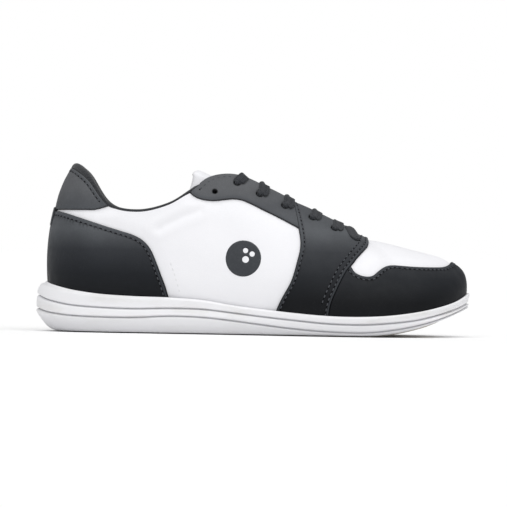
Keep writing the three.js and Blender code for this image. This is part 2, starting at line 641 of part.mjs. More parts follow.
// Sheet between two depths under the tongue's outer face.
function tongueLayer(top, bottom, inset) {
  const rows = [];
  for (let i = 0; i <= tongueRows; i += 1) rows.push(tongueSection(i / tongueRows));
  const columns = rows[0].length;
  const normalAt = (i, j) => {
    const along = rows[Math.min(i + 1, tongueRows)][j].clone().sub(rows[Math.max(i - 1, 0)][j]);
    const over = rows[i][Math.min(j + 1, columns - 1)].clone().sub(rows[i][Math.max(j - 1, 0)]);
    return over.cross(along).normalize();
  };
  const sections = [];
  for (let i = 0; i <= tongueRows; i += 1) {
    const upper = [];
    const lower = [];
    for (let j = 0; j < columns; j += 1) {
      const normal = normalAt(i, j);
      if (normal.z < 0) normal.negate();
      const place = j === 0 ? rows[i][0].clone().lerp(rows[i][1], inset)
        : j === columns - 1 ? rows[i][j].clone().lerp(rows[i][j - 1], inset) : rows[i][j];
      upper.push(place.clone().addScaledVector(normal, -top));
      lower.push(place.clone().addScaledVector(normal, -bottom));
    }
    sections.push([...upper, ...lower.reverse()]);
  }
  return loft(sections);
}
const tongueFoamThick = 3.6;
const tongueGap = 0.6;
const tongueShellThick = 1;
const tongueFoamTop = tongueShellThick + tongueGap;
const tongueLiningTop = tongueFoamTop + tongueFoamThick + tongueGap;
add('tongue_shell', tongueLayer(0, tongueShellThick, 0), 'whiteLeather', 0.5);
add('tongue_foam', tongueLayer(tongueFoamTop, tongueFoamTop + tongueFoamThick, 0.15), 'foam', 0.9);
add('tongue_lining', tongueLayer(tongueLiningTop, tongueLiningTop + liningThick, 0), 'lining', 0.9);

// ---------------------------------------------------------------- lace

// One flat lace. It starts as a bar over the front pair of eyelets, goes down into each eyelet from
// outside, passes under that lace edge, crosses the opening and goes over the other edge.
const laceOver = panelLayer[1] + gap + laceThick / 2; // middle of the lace above the leather face
const laceUnder = liningFace - liningThick - laceRoom - laceThick / 2;
const laceInHole = { width: 2.6, thick: 1.6 };
const crossing = 0.95; // half the height between the two strands where they cross
const pastEdge = 2.4; // how far the lace runs on past the edge before it turns
const lastEyelet = eyelets.length - 1;

function laceKey(point, normal, width = laceWidth, thick = laceThick) {
  return { point, normal, width, thick };
}

function edgePoint(side, eyelet, distance) {
  const [w] = locate(...eyelets[eyelet], side);
  return offUpper(w, 0.995, distance);
}

// Down through one eyelet; sign is 1 or -1 for the face of the lace that lies upwards.
function throughEyelet(side, eyelet, sign, isEnd) {
  const [w, v] = locate(...eyelets[eyelet], side);
  const normal = upperNormal(w, v);
  const inward = upperPoint(w, v).sub(upperPoint(w, 1)).normalize();
  const up = normal.clone().multiplyScalar(sign);
  const down = normal.clone().multiplyScalar(-sign);
  const at = (distance, back) => offUpper(w, v, distance).addScaledVector(inward, -back);
  const past = (distance) => edgePoint(side, eyelet, distance).addScaledVector(inward, -pastEdge);
  const keys = [
    laceKey(past(laceOver + 0.2), up),
    laceKey(edgePoint(side, eyelet, laceOver + 0.5), up),
    laceKey(at(laceOver + 0.4, 3.6), up),
    laceKey(at(laceOver - 0.3, 0.5), up.clone().addScaledVector(inward, sign).normalize(), 3.2, 1.4),
    laceKey(at(-1.2, 0), inward.clone().multiplyScalar(sign), laceInHole.width, laceInHole.thick),
  ];
  if (isEnd) {
    keys.push(laceKey(at(laceUnder - 0.8, -1.6), up, 3, 1.4));
    for (const [drop, depth] of [[0.13, 0], [0.24, 0.3], [0.34, 1.6]]) {
      const facing = upperNormal(w, v - drop).multiplyScalar(sign);
      keys.push(laceKey(offUpper(w, v - drop, laceUnder - depth), facing));
    }
  } else {
    keys.push(laceKey(at(laceUnder - 0.9, 1.4), down, 3, 1.4));
    keys.push(laceKey(edgePoint(side, eyelet, laceUnder - 0.2), down));
    keys.push(laceKey(past(laceUnder + 0.3), down));
  }
  return keys;
}

function laceHalf(firstSide, height) {
  const keys = [];
  let side = firstSide;
  let sign = 1;
  for (let eyelet = lastEyelet; eyelet >= 1; eyelet -= 1) {
    keys.push(...throughEyelet(side, eyelet, sign, eyelet === 1));
    if (eyelet > 1) {
      const middle = edgePoint(side, eyelet, 0).add(edgePoint(-side, eyelet - 1, 0)).multiplyScalar(0.5);
      middle.z += height;
      keys.push(laceKey(middle, new THREE.Vector3(0.4, 0, 1).normalize().multiplyScalar(-sign)));
      side = -side;
      sign = -sign;
    }
  }
  return keys;
}

function sweep(keys, steps) {
  const curve = new THREE.CatmullRomCurve3(keys.map((key) => key.point), false, 'centripetal');
  const sections = [];
  const count = (keys.length - 1) * steps;
  for (let i = 0; i <= count; i += 1) {
    const place = i / steps;
    const k = Math.min(Math.floor(place), keys.length - 2);
    const t = place - k;
    const tangent = curve.getTangent(i / count);
    const normal = keys[k].normal.clone().lerp(keys[k + 1].normal, t);
    const side = tangent.clone().cross(normal).normalize();
    const face = side.clone().cross(tangent).normalize();
    const halfWide = mix(keys[k].width, keys[k + 1].width, t) / 2;
    const halfThick = mix(keys[k].thick, keys[k + 1].thick, t) / 2;
    const centre = curve.getPoint(i / count);
    sections.push([[-1, -1], [1, -1], [1, 1], [-1, 1]].map(([a, b]) => centre.clone()
      .addScaledVector(side, a * halfWide).addScaledVector(face, b * halfThick)));
  }
  return loft(sections);
}

const bar = edgePoint(-1, lastEyelet, laceOver).add(edgePoint(1, lastEyelet, laceOver)).multiplyScalar(0.5);
bar.z += 0.6;
const laceKeys = [
  ...laceHalf(-1, crossing).reverse(),
  laceKey(bar, new THREE.Vector3(ridgeFall, 0, 1).normalize()),
  ...laceHalf(1, -crossing),
];
add('lace', sweep(laceKeys, 1), 'lace', 0.9);

const agletSize = { length: 16, width: 3.4, thick: 1.7 };
function makeAglet(keys) {
  const [before, end] = keys;
  const direction = end.point.clone().sub(before.point).normalize();
  const place = (distance) => end.point.clone().addScaledVector(direction, distance);
  const at = (distance) => laceKey(place(distance), end.normal, agletSize.width, agletSize.thick);
  return sweep([at(gap), at(gap + agletSize.length)], 1);
}
add('aglet_medial', makeAglet([laceKeys[1], laceKeys[0]]), 'plastic', 0.3);
add('aglet_lateral', makeAglet(laceKeys.slice(-2)), 'plastic', 0.3);

export default shoe;
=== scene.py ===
import math

import bmesh
import bpy
import numpy as np
from mathutils import Matrix, Vector
from mathutils.geometry import delaunay_2d_cdt


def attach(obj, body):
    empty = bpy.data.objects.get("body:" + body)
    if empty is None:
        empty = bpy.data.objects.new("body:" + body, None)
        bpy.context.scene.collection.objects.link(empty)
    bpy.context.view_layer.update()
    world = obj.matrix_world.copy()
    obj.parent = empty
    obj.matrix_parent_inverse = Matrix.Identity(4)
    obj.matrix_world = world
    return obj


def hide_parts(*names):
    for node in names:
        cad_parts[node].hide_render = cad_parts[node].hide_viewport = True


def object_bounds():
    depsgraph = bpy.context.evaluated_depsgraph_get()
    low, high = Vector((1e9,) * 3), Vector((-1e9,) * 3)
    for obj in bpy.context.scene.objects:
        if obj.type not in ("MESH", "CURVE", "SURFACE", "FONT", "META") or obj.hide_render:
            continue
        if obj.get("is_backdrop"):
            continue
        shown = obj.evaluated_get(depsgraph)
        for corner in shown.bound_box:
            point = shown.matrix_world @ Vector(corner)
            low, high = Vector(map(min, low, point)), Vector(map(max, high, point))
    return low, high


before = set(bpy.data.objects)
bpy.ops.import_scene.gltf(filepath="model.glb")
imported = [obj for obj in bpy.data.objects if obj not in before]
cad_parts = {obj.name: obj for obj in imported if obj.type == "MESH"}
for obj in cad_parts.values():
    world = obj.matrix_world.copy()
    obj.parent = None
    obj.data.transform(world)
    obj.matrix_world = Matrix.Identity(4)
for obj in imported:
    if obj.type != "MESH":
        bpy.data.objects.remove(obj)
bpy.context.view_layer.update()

mm = 0.001  # shapes are worked out in millimetres and become metres when their mesh is made
print("frame loaded")

# camera

sideView = {
    "distance": 2.5,
    "width": 0.3538,  # what the picture takes in at the middle of the shoe
    "centre": (-0.0006, 0.0, 0.0562),
    "roll": 0.92,  # degrees, toe end low
}


def addCamera():
    data = bpy.data.cameras.new("sideView")
    data.sensor_width = 36
    data.lens = data.sensor_width * sideView["distance"] / sideView["width"]
    camera = bpy.data.objects.new("sideView", data)
    roll = math.radians(sideView["roll"])
    right = Vector((math.cos(roll), 0, math.sin(roll)))
    up = Vector((-math.sin(roll), 0, math.cos(roll)))
    back = right.cross(up)
    turn = Matrix((right, up, back)).transposed().to_4x4()
    place = Vector(sideView["centre"]) + back * sideView["distance"]
    camera.matrix_world = Matrix.Translation(place) @ turn
    bpy.context.scene.collection.objects.link(camera)
    bpy.context.scene.camera = camera


addCamera()

# shape of the upper, in millimetres and the same as the CAD part's

# stations run from the middle of the heel (first) round one side to the middle of the toe (last)
feather = {
    "x": [-141.8, -136.5, -123.5, -105, -82, -58, -35, -14, 7, 29, 51, 72, 92, 110, 125, 136.5, 144, 146.8],
    "lateral": [0, -17, -28, -33.5, -35, -36, -37.5, -39.5, -43, -46.8, -49.4, -50, -47.5, -41, -31, -18.5,
                -5, 8],
    "medial": [0, 17, 28, 32.5, 32, 30.5, 29, 30.5, 35, 41.5, 47, 50, 49.5, 46.3, 41, 34, 24, 8],
}
topLine = {
    "x": [-127.5, -124, -115, -101, -81, -60, -44, -31, -13, 9, 32, 54, 69.5, 76.5, 84, 93, 103, 114],
    "half": [0, 9, 18.5, 25.5, 28.5, 28.5, 24, 15.5, 10.5, 9.5, 9, 8.5, 7.5, 0, 0, 0, 0, 0],
    "middle": [0, 0, 0, 0, 0, 0, 0, 0, 0, 0, 0, 0, 0, 0, 0.2, 0.6, 1.2, 2],
    "z": [113.5, 112, 104.5, 87.5, 83.5, 88.5, 98.5, 108, 109.5, 100.5, 89, 78.5, 70, 67.6, 65.9, 63.8,
          61.5, 59],
}
leave = {  # how the leather leaves the feather line
    "out": [3, 3.5, 5, 6, 6, 6, 6, 6, 6, 6, 6, 6, 6, 6, 5, 4, 3, 2],
    "up": [30, 30, 28, 22, 20, 20, 22, 24, 26, 26, 24, 22, 21, 20, 19, 18.5, 18.5, 19],
}
arrive = {  # and how it arrives at the top line
    "out": [13, 12, 9, 5, 4, 5, 9, 16, 20, 21, 22, 24, 26, 28, 30, 31, 31, 31],
    "down": [26, 25, 22, 18, 17, 18, 19, 19, 18, 17, 15, 12, 8, 2, 0, 0, 0, 0],
}
sole = {
    "rim": [34.8, 32.6, 29.3, 26.8, 25.6, 25.1, 23.7, 20.5, 18.1, 15.9, 14.3, 14, 15.1, 17.6, 21, 24.8,
            28.8, 31],
    "flare": [9.5, 7.6, 6, 5.6, 5.6, 5.6, 5.6, 5.6, 5.6, 5.6, 5.6, 5.4, 5.1, 4.8, 4.5, 4.2, 4, 3.9],
    "bevel": [13, 9, 6, 4.5, 4, 4, 4, 4, 4, 4, 4, 4, 4, 4, 4, 3, 2, 1.5],
    "upperGroove": [0.72, 0.66, 0.63, 0.64, 0.65, 0.69, 0.72, 0.73, 0.7, 0.66, 0.6, 0.58, 0.58, 0.52, 0.48,
                    0.42, 0.36, 0.34],
    "lowerGroove": [0.45, 0.4, 0.38, 0.39, 0.41, 0.47, 0.48, 0.46, 0.38, 0.28, 0.2, 0.17, 0.2, 0.2, 0.18,
                    0.17, 0.17, 0.17],
    "grooveDepth": 1.6,
    "grooveWidth": 0.62,
    "grooveShade": 0.75,
    "lip": 0.18,
    "rimWall": 2.2,
    "floor": 2.8,
    "toeFloor": 1.2,
    "padDrop": 0.8,
    "padThick": 1.7,
    "padInset": 4.5,
    "springStart": 72,
    "springRate": 0.0035,
}
layers = {
    "gap": 0.32,
    "leather": 1.2,
    "cupDepth": 3.6,
    "liningFace": -3.04,
    "liningThick": 0.8,
    "collarPad": 4.6,
}
lastStation = 17
throatEnd = 13 / lastStation  # where the lace opening ends towards the toe
collarEnd = 6.6 / lastStation
ridgeFall = 0.23  # how steeply the middle line of the vamp goes down

# A place on the upper is [w, v]: w is 0 at the heel, 1 at the toe on the medial side and -1 on the lateral
# side, and v goes from 0 at the feather line, where the leather meets the sole, to 1 at the top line.


def through(keys, u, sideways=False):
    # smooth value through evenly spaced keys, with mirrored ends
    keys = np.asarray(keys, float)
    u = np.clip(np.asarray(u, float), 0, 1)
    before = 2 * keys[0] - keys[1] if sideways else keys[1]
    after = 2 * keys[-1] - keys[-2] if sideways else keys[-2]
    padded = np.concatenate([[before], keys, [after]])
    place = u * (len(keys) - 1)
    i = np.minimum(place.astype(int), len(keys) - 2)
    t = place - i
    a, b, c, d = padded[i], padded[i + 1], padded[i + 2], padded[i + 3]
    t2, t3 = t * t, t * t * t
    return (b * (2 * t3 - 3 * t2 + 1) + (c - a) / 2 * (t3 - 2 * t2 + t)
            + c * (3 * t2 - 2 * t3) + (d - b) / 2 * (t3 - t2))


def mix(a, b, t):
    return a + (b - a) * t


def smooth(start, end, value):
    t = np.clip((value - start) / (end - start), 0, 1)
    return t * t * (3 - 2 * t)


def unit(vectors):
    return vectors / np.maximum(np.linalg.norm(vectors, axis=-1, keepdims=True), 1e-9)


def wrapped(w):
    return np.where(w > 1, w - 2, np.where(w < -1, w + 2, w))


def featherPoint(w):
    u = np.abs(w)
    y = np.where(w < 0, through(feather["lateral"], u, True), through(feather["medial"], u, True))
    return np.stack([through(feather["x"], u), y, through(sole["rim"], u) - layers["cupDepth"]], -1)


def featherOutward(w):
    along = featherPoint(wrapped(w + 0.004)) - featherPoint(wrapped(w - 0.004))
    return unit(np.stack([-along[..., 1], along[..., 0], 0 * w], -1))


def topPoint(w):
    u = np.abs(w)
    half = np.where(u < throatEnd, np.maximum(through(topLine["half"], u, True), 0), 0)
    y = through(topLine["middle"], u) + np.sign(w) * half
    return np.stack([through(topLine["x"], u), y, through(topLine["z"], u)], -1)


def upperPoint(w, v):
    w, v = np.broadcast_arrays(np.asarray(w, float), np.asarray(v, float))
    u = np.abs(w)
    low, high = featherPoint(w), topPoint(w)
    outward = low - high
    outward[..., 2] = 0
    outward = unit(outward)
    reach = through(arrive["out"], u)
    first = low + featherOutward(w) * through(leave["out"], u)[..., None]
    first[..., 2] += through(leave["up"], u)
    second = high + outward * reach[..., None]
    fall = smooth(12 / lastStation, throatEnd, u) * ridgeFall * reach * outward[..., 0]
    second[..., 2] -= through(arrive["down"], u) + fall
    v = v[..., None]
    r = 1 - v
    return low * r ** 3 + first * 3 * r * r * v + second * 3 * r * v * v + high * v ** 3


def upperNormal(w, v):
    w, v = np.broadcast_arrays(np.asarray(w, float), np.asarray(v, float))
    step = 0.004
    along = upperPoint(wrapped(w + step), v) - upperPoint(wrapped(w - step), v)
    up = upperPoint(w, np.minimum(v + step, 1)) - upperPoint(w, np.maximum(v - step, 0))
    normal = unit(np.cross(up, along))
    onRidge = (v >= 1) & (np.abs(w) >= throatEnd)
    ridge = unit(np.array([ridgeFall, 0, 1.0]))
    return np.where(onRidge[..., None], ridge, normal)


def offUpper(w, v, distance):
    w = wrapped(np.asarray(w, float))
    distance = np.broadcast_to(np.asarray(distance, float), np.broadcast_shapes(np.shape(w), np.shape(v)))
    return upperPoint(w, v) + upperNormal(w, v) * distance[..., None]


def padAt(w, v):
    # extra thickness of the padded collar, on the inside
    u = np.abs(w)
    alongCollar = 1 - smooth(5.5 / lastStation, 7 / lastStation, u)
    thinAtHeel = mix(0.6, 1, smooth(0, 2 / lastStation, u))
    return layers["collarPad"] * alongCollar * thinAtHeel * smooth(0.6, 0.85, v)


# from side view to places on the upper

borderU = np.linspace(0, 1, 500)
borderPlaces = np.concatenate([
    np.stack([borderU * 0, borderU], 1), np.stack([borderU, borderU * 0 + 1], 1)[1:],
    np.stack([borderU * 0 + 1, 1 - borderU], 1)[1:], np.stack([1 - borderU, borderU * 0], 1)[1:-1]])


def distanceTo(points, starts, ends):
    nearest = np.full(len(points), 1e9)
    for a, b in zip(starts, ends):
        along = b - a
        t = np.clip((points - a) @ along / max(along @ along, 1e-12), 0, 1)
        nearest = np.minimum(nearest, np.linalg.norm(points - a - t[:, None] * along, axis=1))
    return nearest


def isInside(points, loop):
    x, y = points[:, 0], points[:, 1]
    found = np.zeros(len(points), bool)
    for (ax, ay), (bx, by) in zip(loop, np.roll(loop, -1, axis=0)):
        if ay != by:
            found ^= ((ay > y) != (by > y)) & (x < (bx - ax) * (y - ay) / (by - ay) + ax)
    return found


def curveThrough(points, spacing):
    # evenly spaced points on a smooth curve through the given ones
    points = np.asarray(points, float)
    before, after = 2 * points[0] - points[1], 2 * points[-1] - points[-2]
    padded = np.concatenate([[before], points, [after]])
    dense = []
    for i in range(len(points) - 1):
        a, b, c, d = padded[i:i + 4]
        t = np.linspace(0, 1, 24, endpoint=False)[:, None]
        dense.append(0.5 * (2 * b + (c - a) * t + (2 * a - 5 * b + 4 * c - d) * t ** 2
                            + (3 * b - a - 3 * c + d) * t ** 3))
    return evenly(np.concatenate(dense + [points[-1:]]), spacing)


def evenly(points, spacing, measuredOn=None):
    line = points if measuredOn is None else measuredOn
    lengths = np.concatenate([[0], np.cumsum(np.linalg.norm(np.diff(line, axis=0), axis=1))])
    count = max(int(round(lengths[-1] / spacing)), 2)
    at = np.linspace(0, lengths[-1], count + 1)
    return np.stack([np.interp(at, lengths, points[:, k]) for k in range(points.shape[1])], 1)


searchU, searchV = np.meshgrid(np.linspace(0.004, 0.996, 500), np.linspace(0, 1, 160), indexing="ij")


def locate(sideways, side):
    # [u, v] on one side of the shoe for side-view points [x, z]
    sideways = np.asarray(sideways, float)
    grid = upperPoint(side * searchU, searchV)[..., [0, 2]].reshape(-1, 2)
    found = []
    for target in sideways:
        k = np.argmin(((grid - target) ** 2).sum(1))
        found.append([searchU.flat[k], searchV.flat[k]])
    found = np.array(found)
    step = 0.002
    for _ in range(6):
        u, v = found.T
        here = upperPoint(side * u, v)
        du = (upperPoint(side * (u + step), v) - here) / step
        dv = (upperPoint(side * u, v + step) - here) / step
        ex, ez = sideways[:, 0] - here[:, 0], sideways[:, 1] - here[:, 2]
        det = du[:, 0] * dv[:, 2] - dv[:, 0] * du[:, 2]
        det = np.where(np.abs(det) < 1e-3, 1e-3, det)
        found[:, 0] = np.clip(u + 0.7 * (ex * dv[:, 2] - dv[:, 0] * ez) / det, 0.002, 0.998)
        found[:, 1] = np.clip(v + 0.7 * (du[:, 0] * ez - ex * du[:, 2]) / det, 0, 1)
    return found


def placeLine(sideways, side, spacing=1.3):
    # the part of a side-view line that lies on the shoe, as [u, v], with its ends exactly on the border
    line = curveThrough(sideways, 0.6)
    border = upperPoint(side * borderPlaces[:, 0], borderPlaces[:, 1])[:, [0, 2]]
    inside = isInside(line, border)
    kept = np.flatnonzero(inside)
    first, last = kept[0], kept[-1]
    places = list(locate(line[first:last + 1], side))
    after = np.roll(border, -1, axis=0)
    for outer, inner, atStart in ((first - 1, first, True), (last + 1, last, False)):
        if outer < 0 or outer >= len(line):
            continue
        p, r = line[inner], line[outer] - line[inner]
        s = after - border
        cross = r[0] * s[:, 1] - r[1] * s[:, 0]
        cross = np.where(np.abs(cross) < 1e-12, 1e-12, cross)
        q = border - p
        t = (q[:, 0] * s[:, 1] - q[:, 1] * s[:, 0]) / cross
        m = (q[:, 0] * r[1] - q[:, 1] * r[0]) / cross
        hit = np.flatnonzero((t >= 0) & (t <= 1.001) & (m >= 0) & (m <= 1))
        k = hit[0] if len(hit) else int(np.argmin(((border - p) ** 2).sum(1)))
        along = m[k] if len(hit) else 0
        end = mix(borderPlaces[k], borderPlaces[(k + 1) % len(borderPlaces)], along)
        if atStart:
            places.insert(0, end)
        else:
            places.append(end)
    places = np.array(places)
    return evenly(places, spacing, upperPoint(side * places[:, 0], places[:, 1]))


def borderRun(start, end, v, side, spacing=1.3):
    # along the top line (v = 1) or the feather line (v = 0), between two stations
    dense = np.stack([np.linspace(start, end, 200), np.full(200, float(v))], 1)
    return evenly(dense, spacing, upperPoint(side * dense[:, 0], dense[:, 1]))


# meshes

sharpFrom = 55  # degrees between two faces from which their edge shows as sharp
weldWithin = 0.00002  # metres


def makePiece(name, points, faces, material, node, body="root", weld=False, extra=None):
    mesh = bpy.data.meshes.new(name)
    mesh.from_pydata((np.asarray(points) * mm).tolist(), [], [list(map(int, f)) for f in faces])
    for label, values in (extra or {}).items():
        layer = mesh.attributes.new(label, "FLOAT", "POINT")
        layer.data.foreach_set("value", np.asarray(values, float))
    work = bmesh.new()
    work.from_mesh(mesh)
    if weld:
        bmesh.ops.remove_doubles(work, verts=work.verts, dist=weldWithin)
    if work.calc_volume(signed=True) < 0:
        bmesh.ops.reverse_faces(work, faces=work.faces)
    work.to_mesh(mesh)
    work.free()
    mesh.shade_smooth()
    mesh.set_sharp_from_angle(angle=math.radians(sharpFrom))
    piece = bpy.data.objects.new(name, mesh)
    bpy.context.scene.collection.objects.link(piece)
    mesh.materials.append(material)
    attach(piece, body)
    if node:
        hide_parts(*([node] if isinstance(node, str) else node))
    return piece


def gridFaces(rows, columns, closedColumns=False):
    faces = []
    for row in range(0, (rows - 1) * columns, columns):
        for j in range(columns if closedColumns else columns - 1):
            after = (j + 1) % columns
            faces.append((row + j, row + after, row + columns + after, row + columns + j))
    return faces


def loft(sections):
    # skin over a row of closed sections, with its two ends closed
    rows, columns = sections.shape[:2]
    faces = gridFaces(rows, columns, closedColumns=True)
    faces.append(tuple(range(columns))[::-1])
    faces.append(tuple((rows - 1) * columns + j for j in range(columns)))
    return sections.reshape(-1, 3), faces


def slab(outer, inner, openTop=None):
    # closed layer between two grids; openTop says for each column whether its top edge is welded instead
    rows, columns = outer.shape[:2]
    faces = gridFaces(rows, columns)
    under = rows * columns
    faces += [tuple(n + under for n in face[::-1]) for face in gridFaces(rows, columns)]
    for i in range(rows - 1):
        low, lowNext = i * columns, (i + 1) * columns
        faces.append((low, lowNext, lowNext + under, low + under))
        if openTop is None or not (openTop[i] and openTop[i + 1]):
            high, highNext = low + columns - 1, lowNext + columns - 1
            faces.append((highNext, high, high + under, highNext + under))
    for j in range(columns - 1):
        faces.append((j + 1, j, j + under, j + 1 + under))
        a, b = (rows - 1) * columns + j, (rows - 1) * columns + j + 1
        faces.append((a, b, b + under, a + under))
    return np.concatenate([outer.reshape(-1, 3), inner.reshape(-1, 3)]), faces


def triangulated(loops, extra):
    # flat Delaunay triangles inside the loops, the first being the outline and the others holes
    points, edges = [], []
    for loop in loops:
        start = len(points)
        points += list(loop)
        edges += [(start + i, start + (i + 1) % len(loop)) for i in range(len(loop))]
    points += list(extra)
    found = delaunay_2d_cdt([Vector(p) for p in points], edges, [], 0, 1e-7)
    flat = np.array([tuple(p) for p in found[0]])
    triangles = np.array([f for f in found[2] if len(f) == 3])
    middle = flat[triangles].mean(1)
    keep = isInside(middle, loops[0])
    for hole in loops[1:]:
        keep &= ~isInside(middle, hole)
    return flat, triangles[keep]


def hexGrid(low, high, spacing):
    rows = np.arange(low[1], high[1], spacing * 0.866)
    points = []
    for k, y in enumerate(rows):
        x = np.arange(low[0] + (k % 2) * spacing / 2, high[0], spacing)
        points.append(np.stack([x, np.full(len(x), y)], 1))
    return np.concatenate(points)


def onUpper(places, height):
    return offUpper(places[:, 0], np.clip(places[:, 1], 0, 1), height)


def slopes(surface, places):
    step = np.array([0.002, 0.004])
    low, high = places.copy(), places.copy()
    low[:, 1], high[:, 1] = np.maximum(places[:, 1] - step[1], 0), np.minimum(places[:, 1] + step[1], 1)
    across = (surface(places + [step[0], 0], 0) - surface(places - [step[0], 0], 0)) / (2 * step[0])
    up = (surface(high, 0) - surface(low, 0)) / (high[:, 1] - low[:, 1])[:, None]
    return across, up


def movedIn(places, distance, closed=True, surface=onUpper):
    # a line of [w, v] places moved to its left by a distance on the surface
    if closed:
        along = np.roll(places, -1, axis=0) - np.roll(places, 1, axis=0)
    else:
        along = np.gradient(places, axis=0)
    across, up = slopes(surface, places)
    tangent = across * along[:, :1] + up * along[:, 1:]
    normal = unit(np.cross(across, up))
    inward = unit(np.cross(normal, tangent))
    g11, g12, g22 = (across * across).sum(1), (across * up).sum(1), (up * up).sum(1)
    p, q = (across * inward).sum(1), (up * inward).sum(1)
    det = g11 * g22 - g12 * g12
    move = np.stack([(p * g22 - q * g12) / det, (q * g11 - p * g12) / det], 1)
    turn = along[:, 0] * move[:, 1] - along[:, 1] * move[:, 0]
    move *= np.sign(turn)[:, None]
    return places + move * distance


def turnsLeft(loop):
    after = np.roll(loop, -1, axis=0)
    return (loop[:, 0] * after[:, 1] - after[:, 0] * loop[:, 1]).sum() > 0


def leftTurning(loop):
    return loop if turnsLeft(loop) else loop[::-1]


def joined(*runs):
    # one closed loop from (places, isFree) runs, without their shared ends
    loop, free = [], []
    for places, isFree in runs:
        loop.append(places[:-1])
        free.append(np.full(len(places) - 1, isFree))
    loop, free = np.concatenate(loop), np.concatenate(free)
    return (loop, free) if turnsLeft(loop) else (loop[::-1], free[::-1])


panelEdge = {
    "holeRound": 0.8,  # how far round a hole the leather dips, and how deep
    "holeDip": 0.4,
    # where the painted highlight along a free edge lies and how wide it is, then how wide the painted shade
    # at cut edges and holes is
    "highlightAt": 1.5,
    "highlightWidth": 0.75,
    "edgeShadeWidth": 0.5,
    "channelShade": 0.7,
    "channelWidth": 0.6,
}


def bell(distance, width):
    return np.exp(-(distance / width) ** 2)


def panelMesh(loop, free, heightAt, holes=(), rings=(0.2, 0.5, 0.9, 1.4, 2, 2.6, 3.2, 4.2), spacing=2.2,
              floor=-0.15, holeFloor=-1.3, channel=None):
    # closed panel on the upper; its top height follows the distance to the free edges
    allLoops = [loop] + [hole[::-1] if turnsLeft(hole) else hole for hole in holes]
    edgeStarts, edgeEnds = [], []
    solid = onUpper(loop, 0)
    for i in range(len(loop)):
        j = (i + 1) % len(loop)
        if free[i] or free[j]:
            edgeStarts.append(solid[i])
            edgeEnds.append(solid[j])
    holeStarts, holeEnds = [], []
    for hole in allLoops[1:]:
        solidHole = onUpper(hole, 0)
        holeStarts += list(solidHole)
        holeEnds += list(np.roll(solidHole, -1, axis=0))
    borderStarts = list(solid) + holeStarts
    borderEnds = list(np.roll(solid, -1, axis=0)) + holeEnds
    extra = []
    for k, distance in enumerate(rings):
        for n, line in enumerate(allLoops):
            if n > 0 and distance > 1:
                continue
            moved = movedIn(line, distance)
            wanted = moved[(k % 2)::1 + (distance > 1.2)]
            extra.append(wanted[distanceTo(onUpper(wanted, 0), borderStarts, borderEnds) > 0.9 * distance])
    across, up = slopes(onUpper, loop)
    scale = np.array([np.linalg.norm(across, axis=1).mean(), np.linalg.norm(up, axis=1).mean()])
    grid = hexGrid((loop * scale).min(0), (loop * scale).max(0), spacing) / scale
    grid = grid[isInside(grid, loop)]
    clear = (rings[-1] if rings else 0) + 0.55 * spacing
    grid = grid[distanceTo(onUpper(grid, 0), borderStarts, borderEnds) > clear]
    extra = np.concatenate(extra + [grid])
    keep = isInside(extra, loop)
    for hole in allLoops[1:]:
        keep &= ~isInside(extra, hole)
    flat, triangles = triangulated([line * scale for line in allLoops], extra[keep] * scale)
    places = flat / scale
    places[:, 1] = np.clip(places[:, 1], 0, 1)
    base = onUpper(places, 0)
    far = np.full(len(places), 1e9)
    fromEdge = distanceTo(base, edgeStarts, edgeEnds) if edgeStarts else far
    fromHole = distanceTo(base, holeStarts, holeEnds) if holeStarts else far
    height = heightAt(fromEdge, places)
    nearHole = np.maximum(1 - fromHole / panelEdge["holeRound"], 0)
    height = height - panelEdge["holeDip"] * nearHole ** 2
    bottom = np.where(fromHole < 0.01, holeFloor, floor)
    points = np.concatenate([onUpper(places, height), onUpper(places, bottom)])
    under = len(places)
    faces = [tuple(t) for t in triangles] + [tuple(t[::-1] + under) for t in triangles]
    edges = dict.fromkeys(edge for a, b, c in triangles for edge in ((a, b), (b, c), (c, a)))
    # the two sides of the vamp meet at the ridge, where it has no wall
    atRidge = (places[:, 1] > 0.9999) & (np.abs(wrapped(places[:, 0])) > throatEnd - 0.0005)
    for a, b in edges:
        if (b, a) not in edges and not (atRidge[a] and atRidge[b] and not free.all()):
            faces.append((b, a, a + under, b + under))
    # painted light: above 0 is a painted highlight along the free edges, below 0 is painted shade at the cut
    # edges, round the holes and in the stitch channel
    light = bell(fromEdge - panelEdge["highlightAt"], panelEdge["highlightWidth"])
    dark = bell(np.minimum(fromEdge, fromHole), panelEdge["edgeShadeWidth"])
    if channel:
        dark = dark + panelEdge["channelShade"] * bell(fromEdge - channel, panelEdge["channelWidth"])
    return points, faces, np.concatenate([light - dark, 0 * light - 1])


print("shape functions ready")

# finishes


def addNode(tree, kind, inputs=(), **settings):
    # a node with its settings, and each named input linked or set
    node = tree.nodes.new(kind)
    for name, value in settings.items():
        setattr(node, name, value)
    for socket, value in dict(inputs).items():
        if isinstance(value, bpy.types.NodeSocket):
            tree.links.new(value, node.inputs[socket])
        else:
            node.inputs[socket].default_value = value
    return node


def newMaterial(name, roughness, specular=0.5, sheen=0):
    material = bpy.data.materials.new(name)
    material.use_nodes = True
    shader = material.node_tree.nodes["Principled BSDF"]
    shader.inputs["Roughness"].default_value = roughness
    shader.inputs["Specular IOR Level"].default_value = specular
    shader.inputs["Sheen Weight"].default_value = sheen
    return material, material.node_tree, shader


def grey(value):
    return (value, value, value)


def objectPlace(tree):
    return addNode(tree, "ShaderNodeTexCoord").outputs["Object"]


def objectNoise(tree, scale, detail=3, roughness=0.5, stretch=(1, 1, 1)):
    mapping = addNode(tree, "ShaderNodeMapping", {"Vector": objectPlace(tree), "Scale": stretch})
    noise = addNode(tree, "ShaderNodeTexNoise", {"Vector": mapping.outputs["Vector"], "Scale": scale,
                                                 "Detail": detail, "Roughness": roughness})
    return noise.outputs["Fac"]


